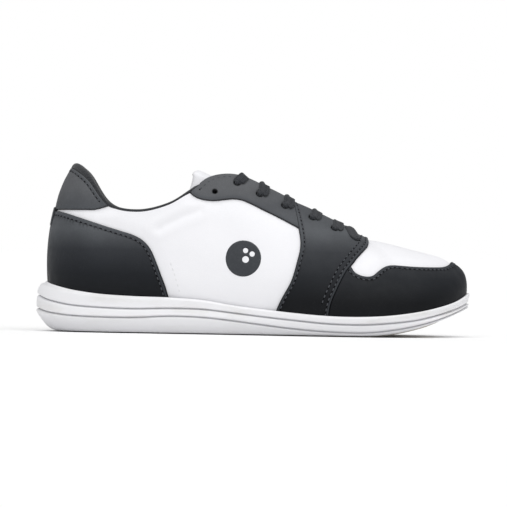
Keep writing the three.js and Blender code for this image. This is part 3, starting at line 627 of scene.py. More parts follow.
def ramp(tree, factor, stops):
    node = addNode(tree, "ShaderNodeValToRGB", {"Fac": factor})
    elements = node.color_ramp.elements
    while len(elements) < len(stops):
        elements.new(0.5)
    for element, (place, colour) in zip(elements, stops):
        element.position = place
        element.color = (*colour, 1)
    return node.outputs["Color"]


def blended(tree, factor, first, second):
    first, second = [(*value, 1) if isinstance(value, tuple) else value for value in (first, second)]
    return addNode(tree, "ShaderNodeMix", {0: factor, 6: first, 7: second}, data_type="RGBA").outputs[2]


def arithmetic(tree, kind, first, second):
    return addNode(tree, "ShaderNodeMath", {0: first, 1: second}, operation=kind).outputs[0]


def heightAbove(tree, reach):
    # 0 at the floor and 1 at a height of reach metres
    parts = addNode(tree, "ShaderNodeSeparateXYZ", {0: objectPlace(tree)})
    return arithmetic(tree, "DIVIDE", parts.outputs["Z"], reach)


def pieceValue(tree, name):
    return addNode(tree, "ShaderNodeAttribute", attribute_name=name).outputs["Fac"]


def setColour(tree, shader, colour):
    tree.links.new(colour, shader.inputs["Base Color"])


def setRoughness(tree, shader, factor, limits):
    low, high = limits
    tree.links.new(ramp(tree, factor, [(0.3, grey(low)), (0.7, grey(high))]), shader.inputs["Roughness"])


def addBump(tree, shader, height, strength, depth, under=None):
    bump = addNode(tree, "ShaderNodeBump", {"Strength": strength, "Distance": depth, "Height": height})
    if under:
        tree.links.new(under, bump.inputs["Normal"])
    tree.links.new(bump.outputs["Normal"], shader.inputs["Normal"])
    return bump.outputs["Normal"]


def grain(tree, size):
    # rounded leather pebbles with fine creases between them
    place = objectPlace(tree)
    warp = addNode(tree, "ShaderNodeTexNoise", {"Vector": place, "Scale": 0.35 / size})
    shifted = addNode(tree, "ShaderNodeVectorMath",
                      {0: warp.outputs["Color"], 1: grey(size), 2: place}, operation="MULTIPLY_ADD")
    cells = addNode(tree, "ShaderNodeTexVoronoi", {"Vector": shifted.outputs[0], "Scale": 1 / size},
                    feature="DISTANCE_TO_EDGE")
    return ramp(tree, cells.outputs["Distance"], [(0, grey(0)), (0.22, grey(1))])


leathers = {
    "darkLeather": {
        # painted light: the colour darkens from the top of the shoe down to the sole, as light from above
        # falls on it
        "paintedLightByHeight": [(0.2, (0.0022, 0.0028, 0.004)), (0.34, (0.0095, 0.0115, 0.015)),
                     (0.48, (0.03, 0.033, 0.039)), (0.6, (0.1, 0.107, 0.117)),
                     (0.74, (0.085, 0.09, 0.099)), (0.84, (0.12, 0.124, 0.132))],
        "deep": (0.008, 0.0092, 0.0115),
        # the next two colours are the painted highlight and the painted shade along the panel edges, the one
        # after them the strength of that highlight
        "edgeHighlightColour": (0.06, 0.066, 0.075),
        "edgeShadeColour": (0.002, 0.0022, 0.003),
        "paintedEdgeLight": 0.7,
        "pebbleFloor": 0.86,
        "roughness": (0.42, 0.56),
        "specular": 0.16,
        "grain": 0.0009,
        "bump": 0.28,
    },
    "whiteLeather": {
        # painted shade: the white darkens a little towards the sole
        "paintedLightByHeight": [(0.1, (0.8, 0.8, 0.825)), (0.35, (0.86, 0.86, 0.885))],
        "deep": (0.80, 0.80, 0.83),
        # the next two colours are the painted highlight and the painted shade along the panel edges, the one
        # after them the strength of that highlight
        "edgeHighlightColour": (0.88, 0.88, 0.89),
        "edgeShadeColour": (0.5, 0.5, 0.52),
        "paintedEdgeLight": 0.2,
        "pebbleFloor": 0.6,
        "roughness": (0.42, 0.55),
        "specular": 0.4,
        "grain": 0.0008,
        "bump": 0.16,
    },
}
leatherFinish = {
    "height": 0.12,  # metres, the full scale of the painted light-by-height colours
    "cloud": 42,
    "patches": 160,
    "edgeShade": 0.85,
    "swell": 0.25,
    "swellDepth": 0.0012,
    "grainDepth": 0.00012,
}


def leather(name):
    look = leathers[name]
    material, tree, shader = newMaterial(name, 0.5, look["specular"])
    cloud = objectNoise(tree, leatherFinish["cloud"], 4)
    # painted light: the colour darkens from the top of the shoe down to the sole
    paintedTopLight = ramp(tree, heightAbove(tree, leatherFinish["height"]), look["paintedLightByHeight"])
    base = blended(tree, ramp(tree, cloud, [(0.35, grey(0.2)), (0.65, grey(0))]), paintedTopLight, look["deep"])
    pebbles = grain(tree, look["grain"])
    soft = arithmetic(tree, "MAXIMUM", pebbles, look["pebbleFloor"])
    creased = blended(tree, soft, look["deep"], base)
    # painted highlight and painted shade along the panel edges and in the stitch channel
    edge = pieceValue(tree, "edgeHighlightShade")
    edgeHighlighted = blended(tree, arithmetic(tree, "MULTIPLY", edge, look["paintedEdgeLight"]), creased, look["edgeHighlightColour"])
    shade = arithmetic(tree, "MULTIPLY", edge, -leatherFinish["edgeShade"])
    setColour(tree, shader, blended(tree, shade, edgeHighlighted, look["edgeShadeColour"]))
    setRoughness(tree, shader, objectNoise(tree, leatherFinish["patches"], 2), look["roughness"])
    swell = addBump(tree, shader, cloud, leatherFinish["swell"], leatherFinish["swellDepth"])
    addBump(tree, shader, pebbles, look["bump"], leatherFinish["grainDepth"], swell)
    return material


rubber = {
    "colour": (0.83, 0.83, 0.85),
    "dust": (0.74, 0.735, 0.73),
    # painted shade: the colour at the bottom of the sole, and the height in metres over which it fades out
    "low": (0.6, 0.6, 0.62),
    "paintedShadeReach": 0.013,
    "groove": (0.42, 0.42, 0.44),
    "roughness": (0.48, 0.62),
    "texture": 2600,
}


def soleRubber():
    material, tree, shader = newMaterial("soleRubber", 0.55, 0.35)
    mottle = objectNoise(tree, 25, 5, 0.6, (1, 1, 3))
    clean = ramp(tree, mottle, [(0.3, rubber["dust"]), (0.5, rubber["colour"])])
    # painted shade: the rubber darkens towards the floor
    paintedLowShade = blended(tree, heightAbove(tree, rubber["paintedShadeReach"]), rubber["low"], clean)
    setColour(tree, shader, blended(tree, pieceValue(tree, "grooveShade"), paintedLowShade, rubber["groove"]))
    fine = objectNoise(tree, rubber["texture"], 2)
    setRoughness(tree, shader, fine, rubber["roughness"])
    addBump(tree, shader, fine, 0.2, 0.00008)
    return material


fabrics = {
    "liningMesh": {"colour": (0.030, 0.032, 0.036), "deep": (0.006, 0.0065, 0.008), "pitch": 0.0011,
                   "roughness": 0.85, "sheen": 0.25, "bump": 0.7, "depth": 0.0003},
    "footbedCloth": {"colour": (0.05, 0.053, 0.06), "deep": (0.018, 0.019, 0.022), "pitch": 0.0008,
                     "roughness": 0.9, "sheen": 0.3, "bump": 0.5, "depth": 0.0002},
}


def knit(name):
    look = fabrics[name]
    material, tree, shader = newMaterial(name, look["roughness"], 0.2, look["sheen"])
    cells = addNode(tree, "ShaderNodeTexVoronoi", {"Vector": objectPlace(tree), "Randomness": 0.25,
                                                   "Scale": 1 / look["pitch"]}, feature="F1")
    loops = ramp(tree, cells.outputs["Distance"], [(0.1, grey(0)), (0.55, grey(1))])
    setColour(tree, shader, blended(tree, loops, look["deep"], look["colour"]))
    addBump(tree, shader, loops, look["bump"], look["depth"])
    return material


def speckled(name, first, second, scale, roughness, bump, specular=0.3, metallic=0, stretch=(1, 1, 1),
             sheen=0):
    material, tree, shader = newMaterial(name, roughness, specular, sheen)
    shader.inputs["Metallic"].default_value = metallic
    spots = objectNoise(tree, scale, 5, 0.65, stretch)
    setColour(tree, shader, ramp(tree, spots, [(0.35, first), (0.65, second)]))
    addBump(tree, shader, spots, bump, 0.0003)
    return material


weave = {"colour": (0.034, 0.037, 0.043), "deep": (0.004, 0.0045, 0.006), "strands": 9, "pitch": 0.0013}


def laceWeave():
    # flat braid: strands slant from the middle line to both edges; U is across, V is metres along
    material, tree, shader = newMaterial("laceWeave", 0.85, 0.2, 0.15)
    uv = addNode(tree, "ShaderNodeUVMap", uv_map="laceUV").outputs["UV"]
    split = addNode(tree, "ShaderNodeSeparateXYZ", {"Vector": uv})
    across = arithmetic(tree, "MULTIPLY", split.outputs["X"], weave["strands"])
    fold = arithmetic(tree, "PINGPONG", across, 1)
    along = arithmetic(tree, "DIVIDE", split.outputs["Y"], weave["pitch"])
    step = arithmetic(tree, "PINGPONG", arithmetic(tree, "ADD", along, fold), 0.5)
    height = arithmetic(tree, "MULTIPLY", step, 2)
    total = arithmetic(tree, "ADD", height, arithmetic(tree, "MULTIPLY", fold, 0.4))
    shade = ramp(tree, total, [(0.1, grey(0)), (0.8, grey(1))])
    setColour(tree, shader, blended(tree, shade, weave["deep"], weave["colour"]))
    addBump(tree, shader, total, 0.6, 0.0003)
    return material


materials = {
    "dark": leather("darkLeather"),
    "white": leather("whiteLeather"),
    "sole": soleRubber(),
    "lining": knit("liningMesh"),
    "cloth": knit("footbedCloth"),
    "lace": laceWeave(),
    "foam": speckled("paddingFoam", (0.55, 0.53, 0.46), (0.72, 0.70, 0.62), 1400, 0.95, 0.6),
    "darkFibre": speckled("darkFibre", (0.012, 0.012, 0.013), (0.03, 0.03, 0.032), 600, 0.95, 0.4),
    "fibre": speckled("fibreBoard", (0.25, 0.19, 0.12), (0.42, 0.34, 0.24), 600, 0.9, 0.4),
    "steel": speckled("shankSteel", (0.42, 0.44, 0.46), (0.55, 0.57, 0.6), 300, 0.35, 0.1, 0.5, 1,
                      (1, 30, 30)),
    "microfibre": speckled("slideMicrofibre", (0.38, 0.35, 0.31), (0.52, 0.49, 0.44), 900, 0.95, 0.5, 0.2, 0,
                           (1, 1, 1), 0.6),
    "heelRubber": speckled("heelRubber", (0.018, 0.019, 0.021), (0.035, 0.036, 0.04), 500, 0.7, 0.3),
    "plastic": speckled("agletPlastic", (0.008, 0.008, 0.01), (0.02, 0.02, 0.024), 400, 0.3, 0.1, 0.5),
    "thread": speckled("darkThread", (0.045, 0.049, 0.056), (0.085, 0.09, 0.1), 3000, 0.8, 0.3, 0.2),
    "whiteThread": speckled("whiteThread", (0.7, 0.7, 0.72), (0.8, 0.8, 0.82), 3000, 0.8, 0.3, 0.2),
    # near-black discs at the stitch ends, painted shade where the needle holes are, on the dark and on the
    # white leather
    "needleHoleShade": speckled("needleHoleShade", (0.002, 0.002, 0.003), (0.004, 0.004, 0.005), 900, 0.95, 0.1, 0.05),
    "whiteHoleShade": speckled("whiteNeedleHoleShade", (0.3, 0.3, 0.31), (0.4, 0.4, 0.41), 900, 0.95, 0.1, 0.05),
    "badge": speckled("badgeFilm", (0.026, 0.03, 0.036), (0.036, 0.04, 0.047), 700, 0.5, 0.15, 0.35),
}
print("finishes made")

# panel outlines in side view, [x, z]

outlines = {
    "forefootRear": [[24, 97], [27.8, 83.6], [30, 74.5], [31.4, 66.2], [31.2, 59.2], [29.2, 50.8],
                     [27.2, 43], [24.7, 36], [19.4, 26.2], [15.5, 17.4], [13, 8]],
    "forefootFront": [[50, -2], [51.5, 12], [53.3, 22.5], [56.7, 30.9], [60, 38], [63.4, 44.3], [66.8, 48.6],
                      [71, 54], [75.6, 59], [78.2, 62], [78.9, 64.5], [78.6, 69], [78.4, 76]],
    "eyestayLower": [[-49, 101], [-43.4, 95.6], [-38, 93], [-31.6, 92], [-26, 92.1], [-20.4, 92.9],
                     [-14.8, 93.4], [-9.2, 92.6], [-3.6, 90.5], [7.6, 85.1], [18.9, 79.7], [30.1, 73.8],
                     [40, 68]],
    "foxingSide": [[50, -2], [51.5, 12], [53.3, 22.5], [56.7, 30.9], [60, 38], [63.4, 44.3], [66.5, 48.2]],
    "foxingTop": [[66.5, 48.2], [67.6, 46.2], [69.8, 43.6], [75.3, 41.5], [80.9, 41.8], [85, 45], [90, 48.2],
                  [96, 49], [110, 48.2], [122, 48], [131, 48.4], [136, 50.6], [138, 53.6], [139, 60]],
    "heelFoxing": [[-160, 83.6], [-139, 83.5], [-132, 82.4], [-120.7, 79], [-103.8, 73.7], [-92.6, 70.4],
                   [-83, 67.4], [-76.4, 63.6], [-71.2, 57.6], [-66.8, 48], [-63.7, 40.1], [-60.7, 32.5],
                   [-57, 20], [-54.5, 8]],
    "heelTab": [[-160, 84.3], [-115, 84.4], [-109.6, 84.8], [-104, 86.3], [-98, 89], [-94, 94]],
    "crease": [[-66, 72], [-57, 77], [-48, 81.5], [-38, 85]],
    "quarterRow": [[-57.2, 48], [-53.9, 39], [-51.2, 30]],
}
eyelets = [[-28.2, 98], [-12.9, 104], [2.6, 96.4], [20.1, 88.3], [39.1, 80.1], [54.6, 72.8], [69.3, 66]]
sides = {"lateral": -1, "medial": 1}


def sideLine(name, side):
    return placeLine(outlines[name], side)


def onSide(places, side):
    return places * [side, 1]


def circlePlaces(centre, radius, side, count):
    # a round line on the upper about a side-view point
    angle = np.linspace(0, 2 * math.pi, count, endpoint=False)
    ring = np.array(centre) + radius * np.stack([np.cos(angle), np.sin(angle)], 1)
    return onSide(locate(ring, side), side)


def eyeletRing(number, side, radius, count=16):
    u, v = locate([eyelets[number]], side)[0]
    across, up = slopes(onUpper, np.array([[side * u, v]]))
    normal = unit(np.cross(across, up))[0]
    first = unit(across)[0]
    second = np.cross(normal, first)
    ring = []
    for angle in np.linspace(0, 2 * math.pi, count, endpoint=False):
        move = radius * (math.cos(angle) * first + math.sin(angle) * second)
        solution = np.linalg.lstsq(np.stack([across[0], up[0]], 1), move, rcond=None)[0]
        ring.append([side * u + solution[0], v + solution[1]])
    return np.array(ring)


# dark panels sewn on the white base

sewing = {
    "thickness": 1.45,
    "edgeRadius": 0.9,
    "channelAt": 2.6,  # from the edge to the row of stitches
    "wideChannelAt": 3,  # the same on the heel and toe panels
    "secondRow": 3.4,  # from the first row to the second
    "channelDepth": 0.32,
    "channelWidth": 0.55,
    "lift": 0.05,
    "threadLift": 0.3,
    "forefootExtra": 0.25,
    "crown": 0.45,
    "eyelet": 2.3,
    "emptyEyelet": 1.7,
}
stitchRows = {"dark": [], "white": []}
edgeLines = []  # every sewn edge, for the puffing of the white base between the panels
panelLoops = []  # every panel's outline, in unrolled places


def roundedEdge(fromEdge, radius):
    return np.sqrt(1 - (1 - np.clip(fromEdge / radius, 0, 1)) ** 2)


def sewnHeight(thickness, channelAt):
    def height(fromEdge, places):
        rise = sewing["lift"] + thickness * roundedEdge(fromEdge, sewing["edgeRadius"])
        rise = rise + sewing["crown"] * smooth(channelAt or 1, 12, fromEdge)
        if channelAt:
            rise = rise - sewing["channelDepth"] * bell(fromEdge - channelAt, sewing["channelWidth"])
        return rise
    return height


def sewPanel(node, runs, edges, channelAt=None, holes=(), thickness=sewing["thickness"], shaded=True):
    # one dark panel over its CAD node; edges are its sewn edges, and shaded darkens the channel
    loop, free = joined(*runs)
    points, faces, paintedEdgeLight = panelMesh(loop, free, sewnHeight(thickness, channelAt), holes,
                                    channel=channelAt if shaded else None)
    makePiece(f"{node}_leather", points, faces, materials["dark"], node,
              extra={"edgeHighlightShade": paintedEdgeLight})
    edgeLines.extend(edges)
    panelLoops.append(loop)


def addRow(line, inset, height, kind="dark", trim=(0, 0), flip=False):
    # a row of stitches beside an edge; flip is for a line whose panel lies on its right
    places = movedIn(line[::-1] if flip else line, inset, closed=False)
    count = len(places)
    places = places[trim[0]:count - trim[1]]
    points = onUpper(places, height)
    stitchRows[kind].append((points, upperNormal(wrapped(places[:, 0]), np.clip(places[:, 1], 0, 1))))


def topRise(crown=0.0):
    return sewing["threadLift"] + sewing["thickness"] - sewing["channelDepth"] + crown


for sideName, side in sides.items():
    rear, front = sideLine("forefootRear", side), sideLine("forefootFront", side)
    low = borderRun(rear[-1][0], front[0][0], 0, side)
    high = borderRun(front[-1][0], rear[0][0], 1, side)
    runs = [(onSide(rear, side), True), (onSide(low, side), False), (onSide(front, side), True),
            (onSide(high, side), False)]
    holes = [eyeletRing(k, side, sewing["eyelet"]) for k in (4, 5, 6)]
    sewPanel(f"forefoot_overlay_{sideName}", runs, [onSide(rear, side), onSide(front, side)],
             sewing["channelAt"], holes, sewing["thickness"] + sewing["forefootExtra"])
    leftward = side > 0
    inset, extra = sewing["channelAt"], sewing["forefootExtra"]
    for line, distance, rise, trim in ((rear, inset, extra, (3, 3)), (front, inset, extra, (3, 3)),
                                       (front, inset + sewing["secondRow"], 0.6, (3, 9))):
        addRow(onSide(line, side), distance, topRise(rise), trim=trim, flip=not leftward)

    lower = sideLine("eyestayLower", side)
    keep = onUpper(onSide(lower, side), 0)[:, 0] < 31.6
    lower = lower[keep]
    seam = rear[onUpper(onSide(rear, side), 0)[:, 2] > onUpper(onSide(lower, side), 0)[-1, 2]]
    lower = np.concatenate([lower, seam[-1:]])
    high = borderRun(seam[0][0], lower[0][0], 1, side)
    runs = [(onSide(lower, side), True), (onSide(seam[::-1], side), False), (onSide(high, side), False)]
    holes = [eyeletRing(k, side, sewing["eyelet"] if k else sewing["emptyEyelet"]) for k in (0, 1, 2, 3)]
    sewPanel(f"eyestay_{sideName}", runs, [onSide(lower, side)], holes=holes)
    topRow = borderRun(lower[0][0], 8.1 / lastStation, 1, side)
    addRow(onSide(topRow, side), sewing["channelAt"], topRise(0.35), trim=(6, 6), flip=leftward)

print("forefoot panels and eyestays sewn")


def bothSides(name):
    # the two halves of a line that crosses the heel, as one run from the lateral feather line to the medial
    lateral, medial = onSide(sideLine(name, -1), -1), onSide(sideLine(name, 1), 1)
    return np.concatenate([lateral[::-1], medial[1:]])


heelEdge = bothSides("heelFoxing")
runs = [(heelEdge, True),
        (onSide(borderRun(heelEdge[-1][0], 0, 0, 1), 1), False),
        (onSide(borderRun(0, -heelEdge[0][0], 0, -1), -1), False)]
sewPanel("heel_foxing", runs, [heelEdge], sewing["wideChannelAt"])
addRow(heelEdge, sewing["wideChannelAt"], topRise(), trim=(3, 3), flip=True)

tabEdge = bothSides("heelTab")
tabTop = [(onSide(borderRun(tabEdge[-1][0], 0, 1, 1), 1), True),
          (onSide(borderRun(0, -tabEdge[0][0], 1, -1), -1), True)]
sewPanel("heel_tab", [(tabEdge, True)] + tabTop, [tabEdge], sewing["channelAt"], shaded=False)
addRow(np.concatenate([tabTop[0][0], tabTop[1][0][1:]]), sewing["channelAt"], topRise(), trim=(6, 6))

# the toe panel lies across w = 1, so its lateral half is unrolled to 1..2
def unrolled(places):
    return places * [-1, 1] + [2, 0]


lateralTop, lateralSide = unrolled(sideLine("foxingTop", -1)), unrolled(sideLine("foxingSide", -1))
medialTop, medialSide = sideLine("foxingTop", 1), sideLine("foxingSide", 1)
upEdge = np.concatenate([medialTop, lateralTop[::-1][1:]])
runs = [(medialSide, False), (upEdge, True), (lateralSide[::-1], False),
        (unrolled(borderRun(2 - lateralSide[0][0], 1, 0, -1)), False),
        (borderRun(1, medialSide[0][0], 0, 1), False)]
sewPanel("toe_foxing", runs, [upEdge], sewing["wideChannelAt"])
addRow(upEdge, sewing["wideChannelAt"], topRise(), trim=(3, 3), flip=True)
print("heel and toe panels sewn")

# backstay strip and badges

backstay = {"half": 7, "low": 73, "high": 86, "from": 1.2, "thickness": 1.15, "edgeRadius": 0.7}


def makeBackstay():
    # short strip on top of the heel panel, running up under the tab
    nearHeel = np.linspace(0, 0.1, 60)
    edge = np.interp(backstay["half"], featherPoint(nearHeel)[:, 1], nearHeel)
    heelV = np.linspace(0, 1, 400)
    heelZ = upperPoint(0 * heelV, heelV)[:, 2]
    low, high = (np.interp(backstay[key], heelZ, heelV) for key in ("low", "high"))
    w = np.linspace(-edge, edge, 25)
    v = np.linspace(low, high, 25)
    corners = [np.stack([w, w * 0 + low], 1), np.stack([v * 0 + edge, v], 1),
               np.stack([w[::-1], w * 0 + high], 1), np.stack([v * 0 - edge, v[::-1]], 1)]
    loop, free = joined(*[(run, True) for run in corners])

    def height(fromEdge, places):
        return backstay["from"] + backstay["thickness"] * roundedEdge(fromEdge, backstay["edgeRadius"])

    points, faces, paintedEdgeLight = panelMesh(loop, free, height, rings=(0.2, 0.5, 1), spacing=1.6,
                                    floor=backstay["from"] - 0.2)
    makePiece("backstay_strip_leather", points, faces, materials["dark"], "backstay_strip",
              extra={"edgeHighlightShade": paintedEdgeLight})


makeBackstay()

badge = {
    "centre": (-7.5, 52.5),
    "radius": 12.5,
    "thickness": 0.85,
    "edgeRadius": 0.5,
    "rim": 0.18,
    "holes": [(1.5, 5.5, 1.7), (6, 3.2, 1.7), (1.6, -0.6, 2.1)],  # from the centre, and radius
}


def badgeHeight(fromEdge, places):
    rim = badge["rim"] * bell(fromEdge - 1, 0.45)
    return 0.1 + badge["thickness"] * roundedEdge(fromEdge, badge["edgeRadius"]) + rim


for sideName, side in sides.items():
    x, z = badge["centre"]
    loop = leftTurning(circlePlaces((x, z), badge["radius"], side, 72))
    holes = [circlePlaces((x + dx, z + dz), radius, side, 24) for dx, dz, radius in badge["holes"]]
    points, faces, paintedEdgeLight = panelMesh(loop, np.full(len(loop), True), badgeHeight, holes,
                                    rings=(0.15, 0.4, 0.8, 1.3), spacing=1.3, floor=-0.15, holeFloor=-0.15)
    makePiece(f"badge_{sideName}_film", points, faces, materials["badge"], f"badge_{sideName}",
              extra={"edgeHighlightShade": paintedEdgeLight})

# white base: quarters and vamp

whiteBase = {
    "spacing": 1.9,
    "puff": 0.75,  # how far the leather stands up between the panels
    "puffWidth": 9,
    "holeRadius": 2.9,
    "creaseDepth": 0.75,
    "creaseWidth": 2.6,
    "foldAt": 5.5,
    "waveHeight": 0.22,
    "tucked": (-0.12, -0.35),  # under a panel's edge, and further in
}


def seamStation(v):
    return (9.4 + 1.3 * v) / lastStation


creaseLines = {side: onUpper(onSide(sideLine("crease", side), side), 0) for side in sides.values()}


def whiteHeight(fromEdge, places):
    base = onUpper(places, 0)
    nearest = np.full(len(places), 1e9)
    for line in edgeLines:
        solid = onUpper(line, 0)
        nearest = np.minimum(nearest, distanceTo(base, solid[:-1], solid[1:]))
    covered = np.zeros(len(places), bool)
    w = wrapped(places[:, 0])
    for loop in panelLoops:
        for shift in (0, 2, -2):
            covered |= isInside(np.stack([w + shift, places[:, 1]], 1), loop)
    waves = (np.sin(base[:, 0] / 9.1 + base[:, 2] / 14.3 + 0.6) * np.sin(base[:, 2] / 8.3 - base[:, 0] / 21)
             * whiteBase["waveHeight"])
    shape = whiteBase["puff"] * smooth(0, whiteBase["puffWidth"], nearest) + waves * smooth(1, 12, nearest)
    for side, crease in creaseLines.items():
        onThisSide = np.sign(w) == side
        away = distanceTo(base, crease[:-1], crease[1:])
        fold = whiteBase["creaseDepth"] * (0.5 * bell(away - whiteBase["foldAt"], 3)
                                           - bell(away, whiteBase["creaseWidth"]))
        shape = shape + np.where(onThisSide, fold, 0)
    return np.where(covered, np.where(nearest < 0.7, *whiteBase["tucked"]), shape)


for sideName, side in sides.items():
    rows = np.linspace(0, 1, 46)
    seam = np.stack([side * seamStation(rows), rows], 1)
    heel = np.stack([0 * rows, rows], 1)
    low = onSide(borderRun(0, seamStation(0), 0, side, whiteBase["spacing"]), side)
    high = onSide(borderRun(seamStation(1), 0, 1, side, whiteBase["spacing"]), side)
    loop, free = joined((low, False), (seam, False), (high, False), (heel[::-1], False))
    holes = [eyeletRing(k, side, whiteBase["holeRadius"]) for k in range(5)]
    points, faces, _ = panelMesh(loop, free, whiteHeight, holes, (0.5,), whiteBase["spacing"],
                                 -layers["leather"], -layers["leather"])
    makePiece(f"quarter_{sideName}_leather", points, faces, materials["white"], f"quarter_{sideName}")
    addRow(onSide(placeLine(outlines["quarterRow"], side), side), 0, 0.62, "white")

# the vamp lies across w = 1 too, and its lateral half is unrolled in the same way
rows = np.linspace(0, 1, 46)
spacing = whiteBase["spacing"]
ridgeRun = borderRun(throatEnd, 1, 1, 1, spacing)
openRun = borderRun(seamStation(1), throatEnd, 1, 1, spacing)
medialHigh = np.concatenate([openRun[:-1], ridgeRun])
medialLow, lateralLow = [borderRun(seamStation(0), 1, 0, side, spacing) for side in (1, -1)]
seam = np.stack([seamStation(rows), rows], 1)
lowRun = np.concatenate([medialLow, unrolled(lateralLow[::-1])[1:]])
highRun = np.concatenate([medialHigh, unrolled(medialHigh[::-1])[1:]])
loop, free = joined((lowRun, False), (unrolled(seam), False), (highRun[::-1], False), (seam[::-1], False))
holes = [eyeletRing(k, 1, whiteBase["holeRadius"]) for k in (5, 6)]
holes += [eyeletRing(k, -1, whiteBase["holeRadius"]) + [2, 0] for k in (5, 6)]
points, faces, _ = panelMesh(loop, free, whiteHeight, holes, (), spacing, -layers["leather"],
                             -layers["leather"])
makePiece("vamp_leather", points, faces, materials["white"], "vamp", weld=True)
print("white base made")

# lining, collar and the turned edges of the lace opening


def layerGrid(wRun, rows, distance):
    # wRun gives for each row height v the stations of that row
    w = np.stack([wRun(v) for v in rows], 1)
    v = np.broadcast_to(rows, w.shape)
    places = wrapped(w)
    value = distance(places, v) if callable(distance) else distance
    return offUpper(places, v, value), places


def makeLayer(name, wRun, rows, inner, outer, material, node):
    top, places = layerGrid(wRun, rows, outer)
    bottom, _ = layerGrid(wRun, rows, inner)
    openTop = (np.abs(places[:, -1]) > throatEnd - 1e-6) & (rows[-1] > 0.9999)
    points, faces = slab(top, bottom, openTop)
    return makePiece(name, points, faces, material, node, weld=True)


def liningSeam(v):
    return (9.05 + 0.9 * v) / lastStation


rows = np.linspace(0, 1, 60)


def liningOutside(w, v):
    return layers["liningFace"] - padAt(w, v)


def liningInside(w, v):
    return layers["liningFace"] - padAt(w, v) - layers["liningThick"]


def collarRun(v):
    return np.linspace(-liningSeam(v), liningSeam(v), 221)


def vampRun(v):
    half = np.concatenate([np.linspace(liningSeam(v), throatEnd, 40)[:-1], np.linspace(throatEnd, 1, 61)])
    return np.concatenate([half, 2 - half[::-1][1:]])


for area, run in (("collar", collarRun), ("vamp", vampRun)):
    makeLayer(f"{area}_lining_mesh", run, rows, liningInside, liningOutside, materials["lining"],
              f"{area}_lining")
collarPadding = {"end": 6.4, "low": 0.62, "high": 0.995, "inside": -2.72, "outside": -1.52}
collarPad = makeLayer(
    "collar_foam_pad", lambda v: np.linspace(-collarPadding["end"], collarPadding["end"], 121) / lastStation,
    np.linspace(collarPadding["low"], collarPadding["high"], 24),
    lambda w, v: collarPadding["inside"] - padAt(w, v), collarPadding["outside"], materials["foam"],
    "collar_foam")

collar = {"sides": 2.7, "heel": 4.8, "overhang": 0.35, "heelOverhang": 1.35, "foot": -0.5}


def sweepAlongTop(stations, profileAt):
    # closed sections square to the top line; profileAt gives [out, rise] pairs at a station
    sections = []
    for w in stations:
        normal = upperNormal(w, 1.0)
        up = unit(upperPoint(w, 1.0) - upperPoint(w, 0.98))
        profile = profileAt(w)
        sections.append(topPoint(np.array(w)) + profile[:, :1] * normal + profile[:, 1:] * up)
    return np.array(sections)


def humpProfile(inner, outer, tall, count, powers, foot, lastFoot):
    # rounded hump from its outer to its inner side, on a flat foot
    angle = np.linspace(0, math.pi, count)
    middle, half = (inner + outer) / 2, (outer - inner) / 2
    out = middle + half * np.sign(np.cos(angle)) * np.abs(np.cos(angle)) ** powers[0]
    rise = tall * np.sin(angle) ** powers[1]
    base = [[inner + 0.1, foot], [middle, foot], [lastFoot, foot]]
    return np.concatenate([np.stack([out, rise], 1), base])


def collarProfile(w):
    inner = layers["liningFace"] - layers["liningThick"] - padAt(w, 1.0)
    tall = mix(collar["sides"], collar["heel"], 1 - smooth(1.5 / lastStation, 3.5 / lastStation, abs(w)))
    taper = 1 - 0.75 * smooth(6.1 / lastStation, 6.6 / lastStation, abs(w))
    pastHeel = smooth(2 / lastStation, 3.6 / lastStation, abs(w))
    overhang = mix(collar["heelOverhang"], collar["overhang"], pastHeel)
    return humpProfile(inner, overhang, tall * taper, 17, (0.8, 0.75), collar["foot"], -0.1)


steps = np.linspace(-collarEnd, collarEnd, 241)
points, faces = loft(sweepAlongTop(steps, collarProfile))
makePiece("collar_roll_binding", points, faces, materials["lining"], "collar_roll")

laceEdge = {"outer": 1.42, "inner": -3.7, "rise": 1.25, "foot": -0.6, "paintedEdgeLight": 0.35}


def laceEdgeProfile(w):
    return humpProfile(laceEdge["inner"], laceEdge["outer"], laceEdge["rise"], 11, (0.75, 0.8),
                       laceEdge["foot"], laceEdge["outer"] - 0.25)


for sideName, side in sides.items():
    seamU = placeLine(outlines["forefootRear"], side)[0][0]
    for start, end, owner in ((6.45 / lastStation, seamU - 0.0008, "eyestay"),
                              (seamU + 0.0008, throatEnd - 0.0015, "forefoot_overlay")):
        count = int((end - start) * 420)
        points, faces = loft(sweepAlongTop(side * np.linspace(start, end, count), laceEdgeProfile))
        # the turned edges are lightened evenly, a painted highlight
        makePiece(f"{owner}_{sideName}_turned_edge", points, faces, materials["dark"], None,
                  extra={"edgeHighlightShade": np.full(len(points), laceEdge["paintedEdgeLight"])})
print("lining and collar made")

# sole


def spring(x):
    return sole["springRate"] * np.maximum(x - sole["springStart"], 0) ** 2


def cupFloor(u, x):
    floor = mix(sole["floor"], sole["toeFloor"], smooth(13 / lastStation, 15.5 / lastStation, u))
    return sole["padDrop"] + spring(x) + floor


def stationAt(x):
    u = np.linspace(0, 1, 400)
    return np.interp(x, through(feather["x"], u), u)


soleColumns = 260
soleW = np.linspace(-1, 1, soleColumns, endpoint=False)
cupWall = 1.84


def ringAt(offset, height):
    points = featherPoint(soleW) + featherOutward(soleW) * np.asarray(offset)[..., None]
    points[:, 2] = height
    return points


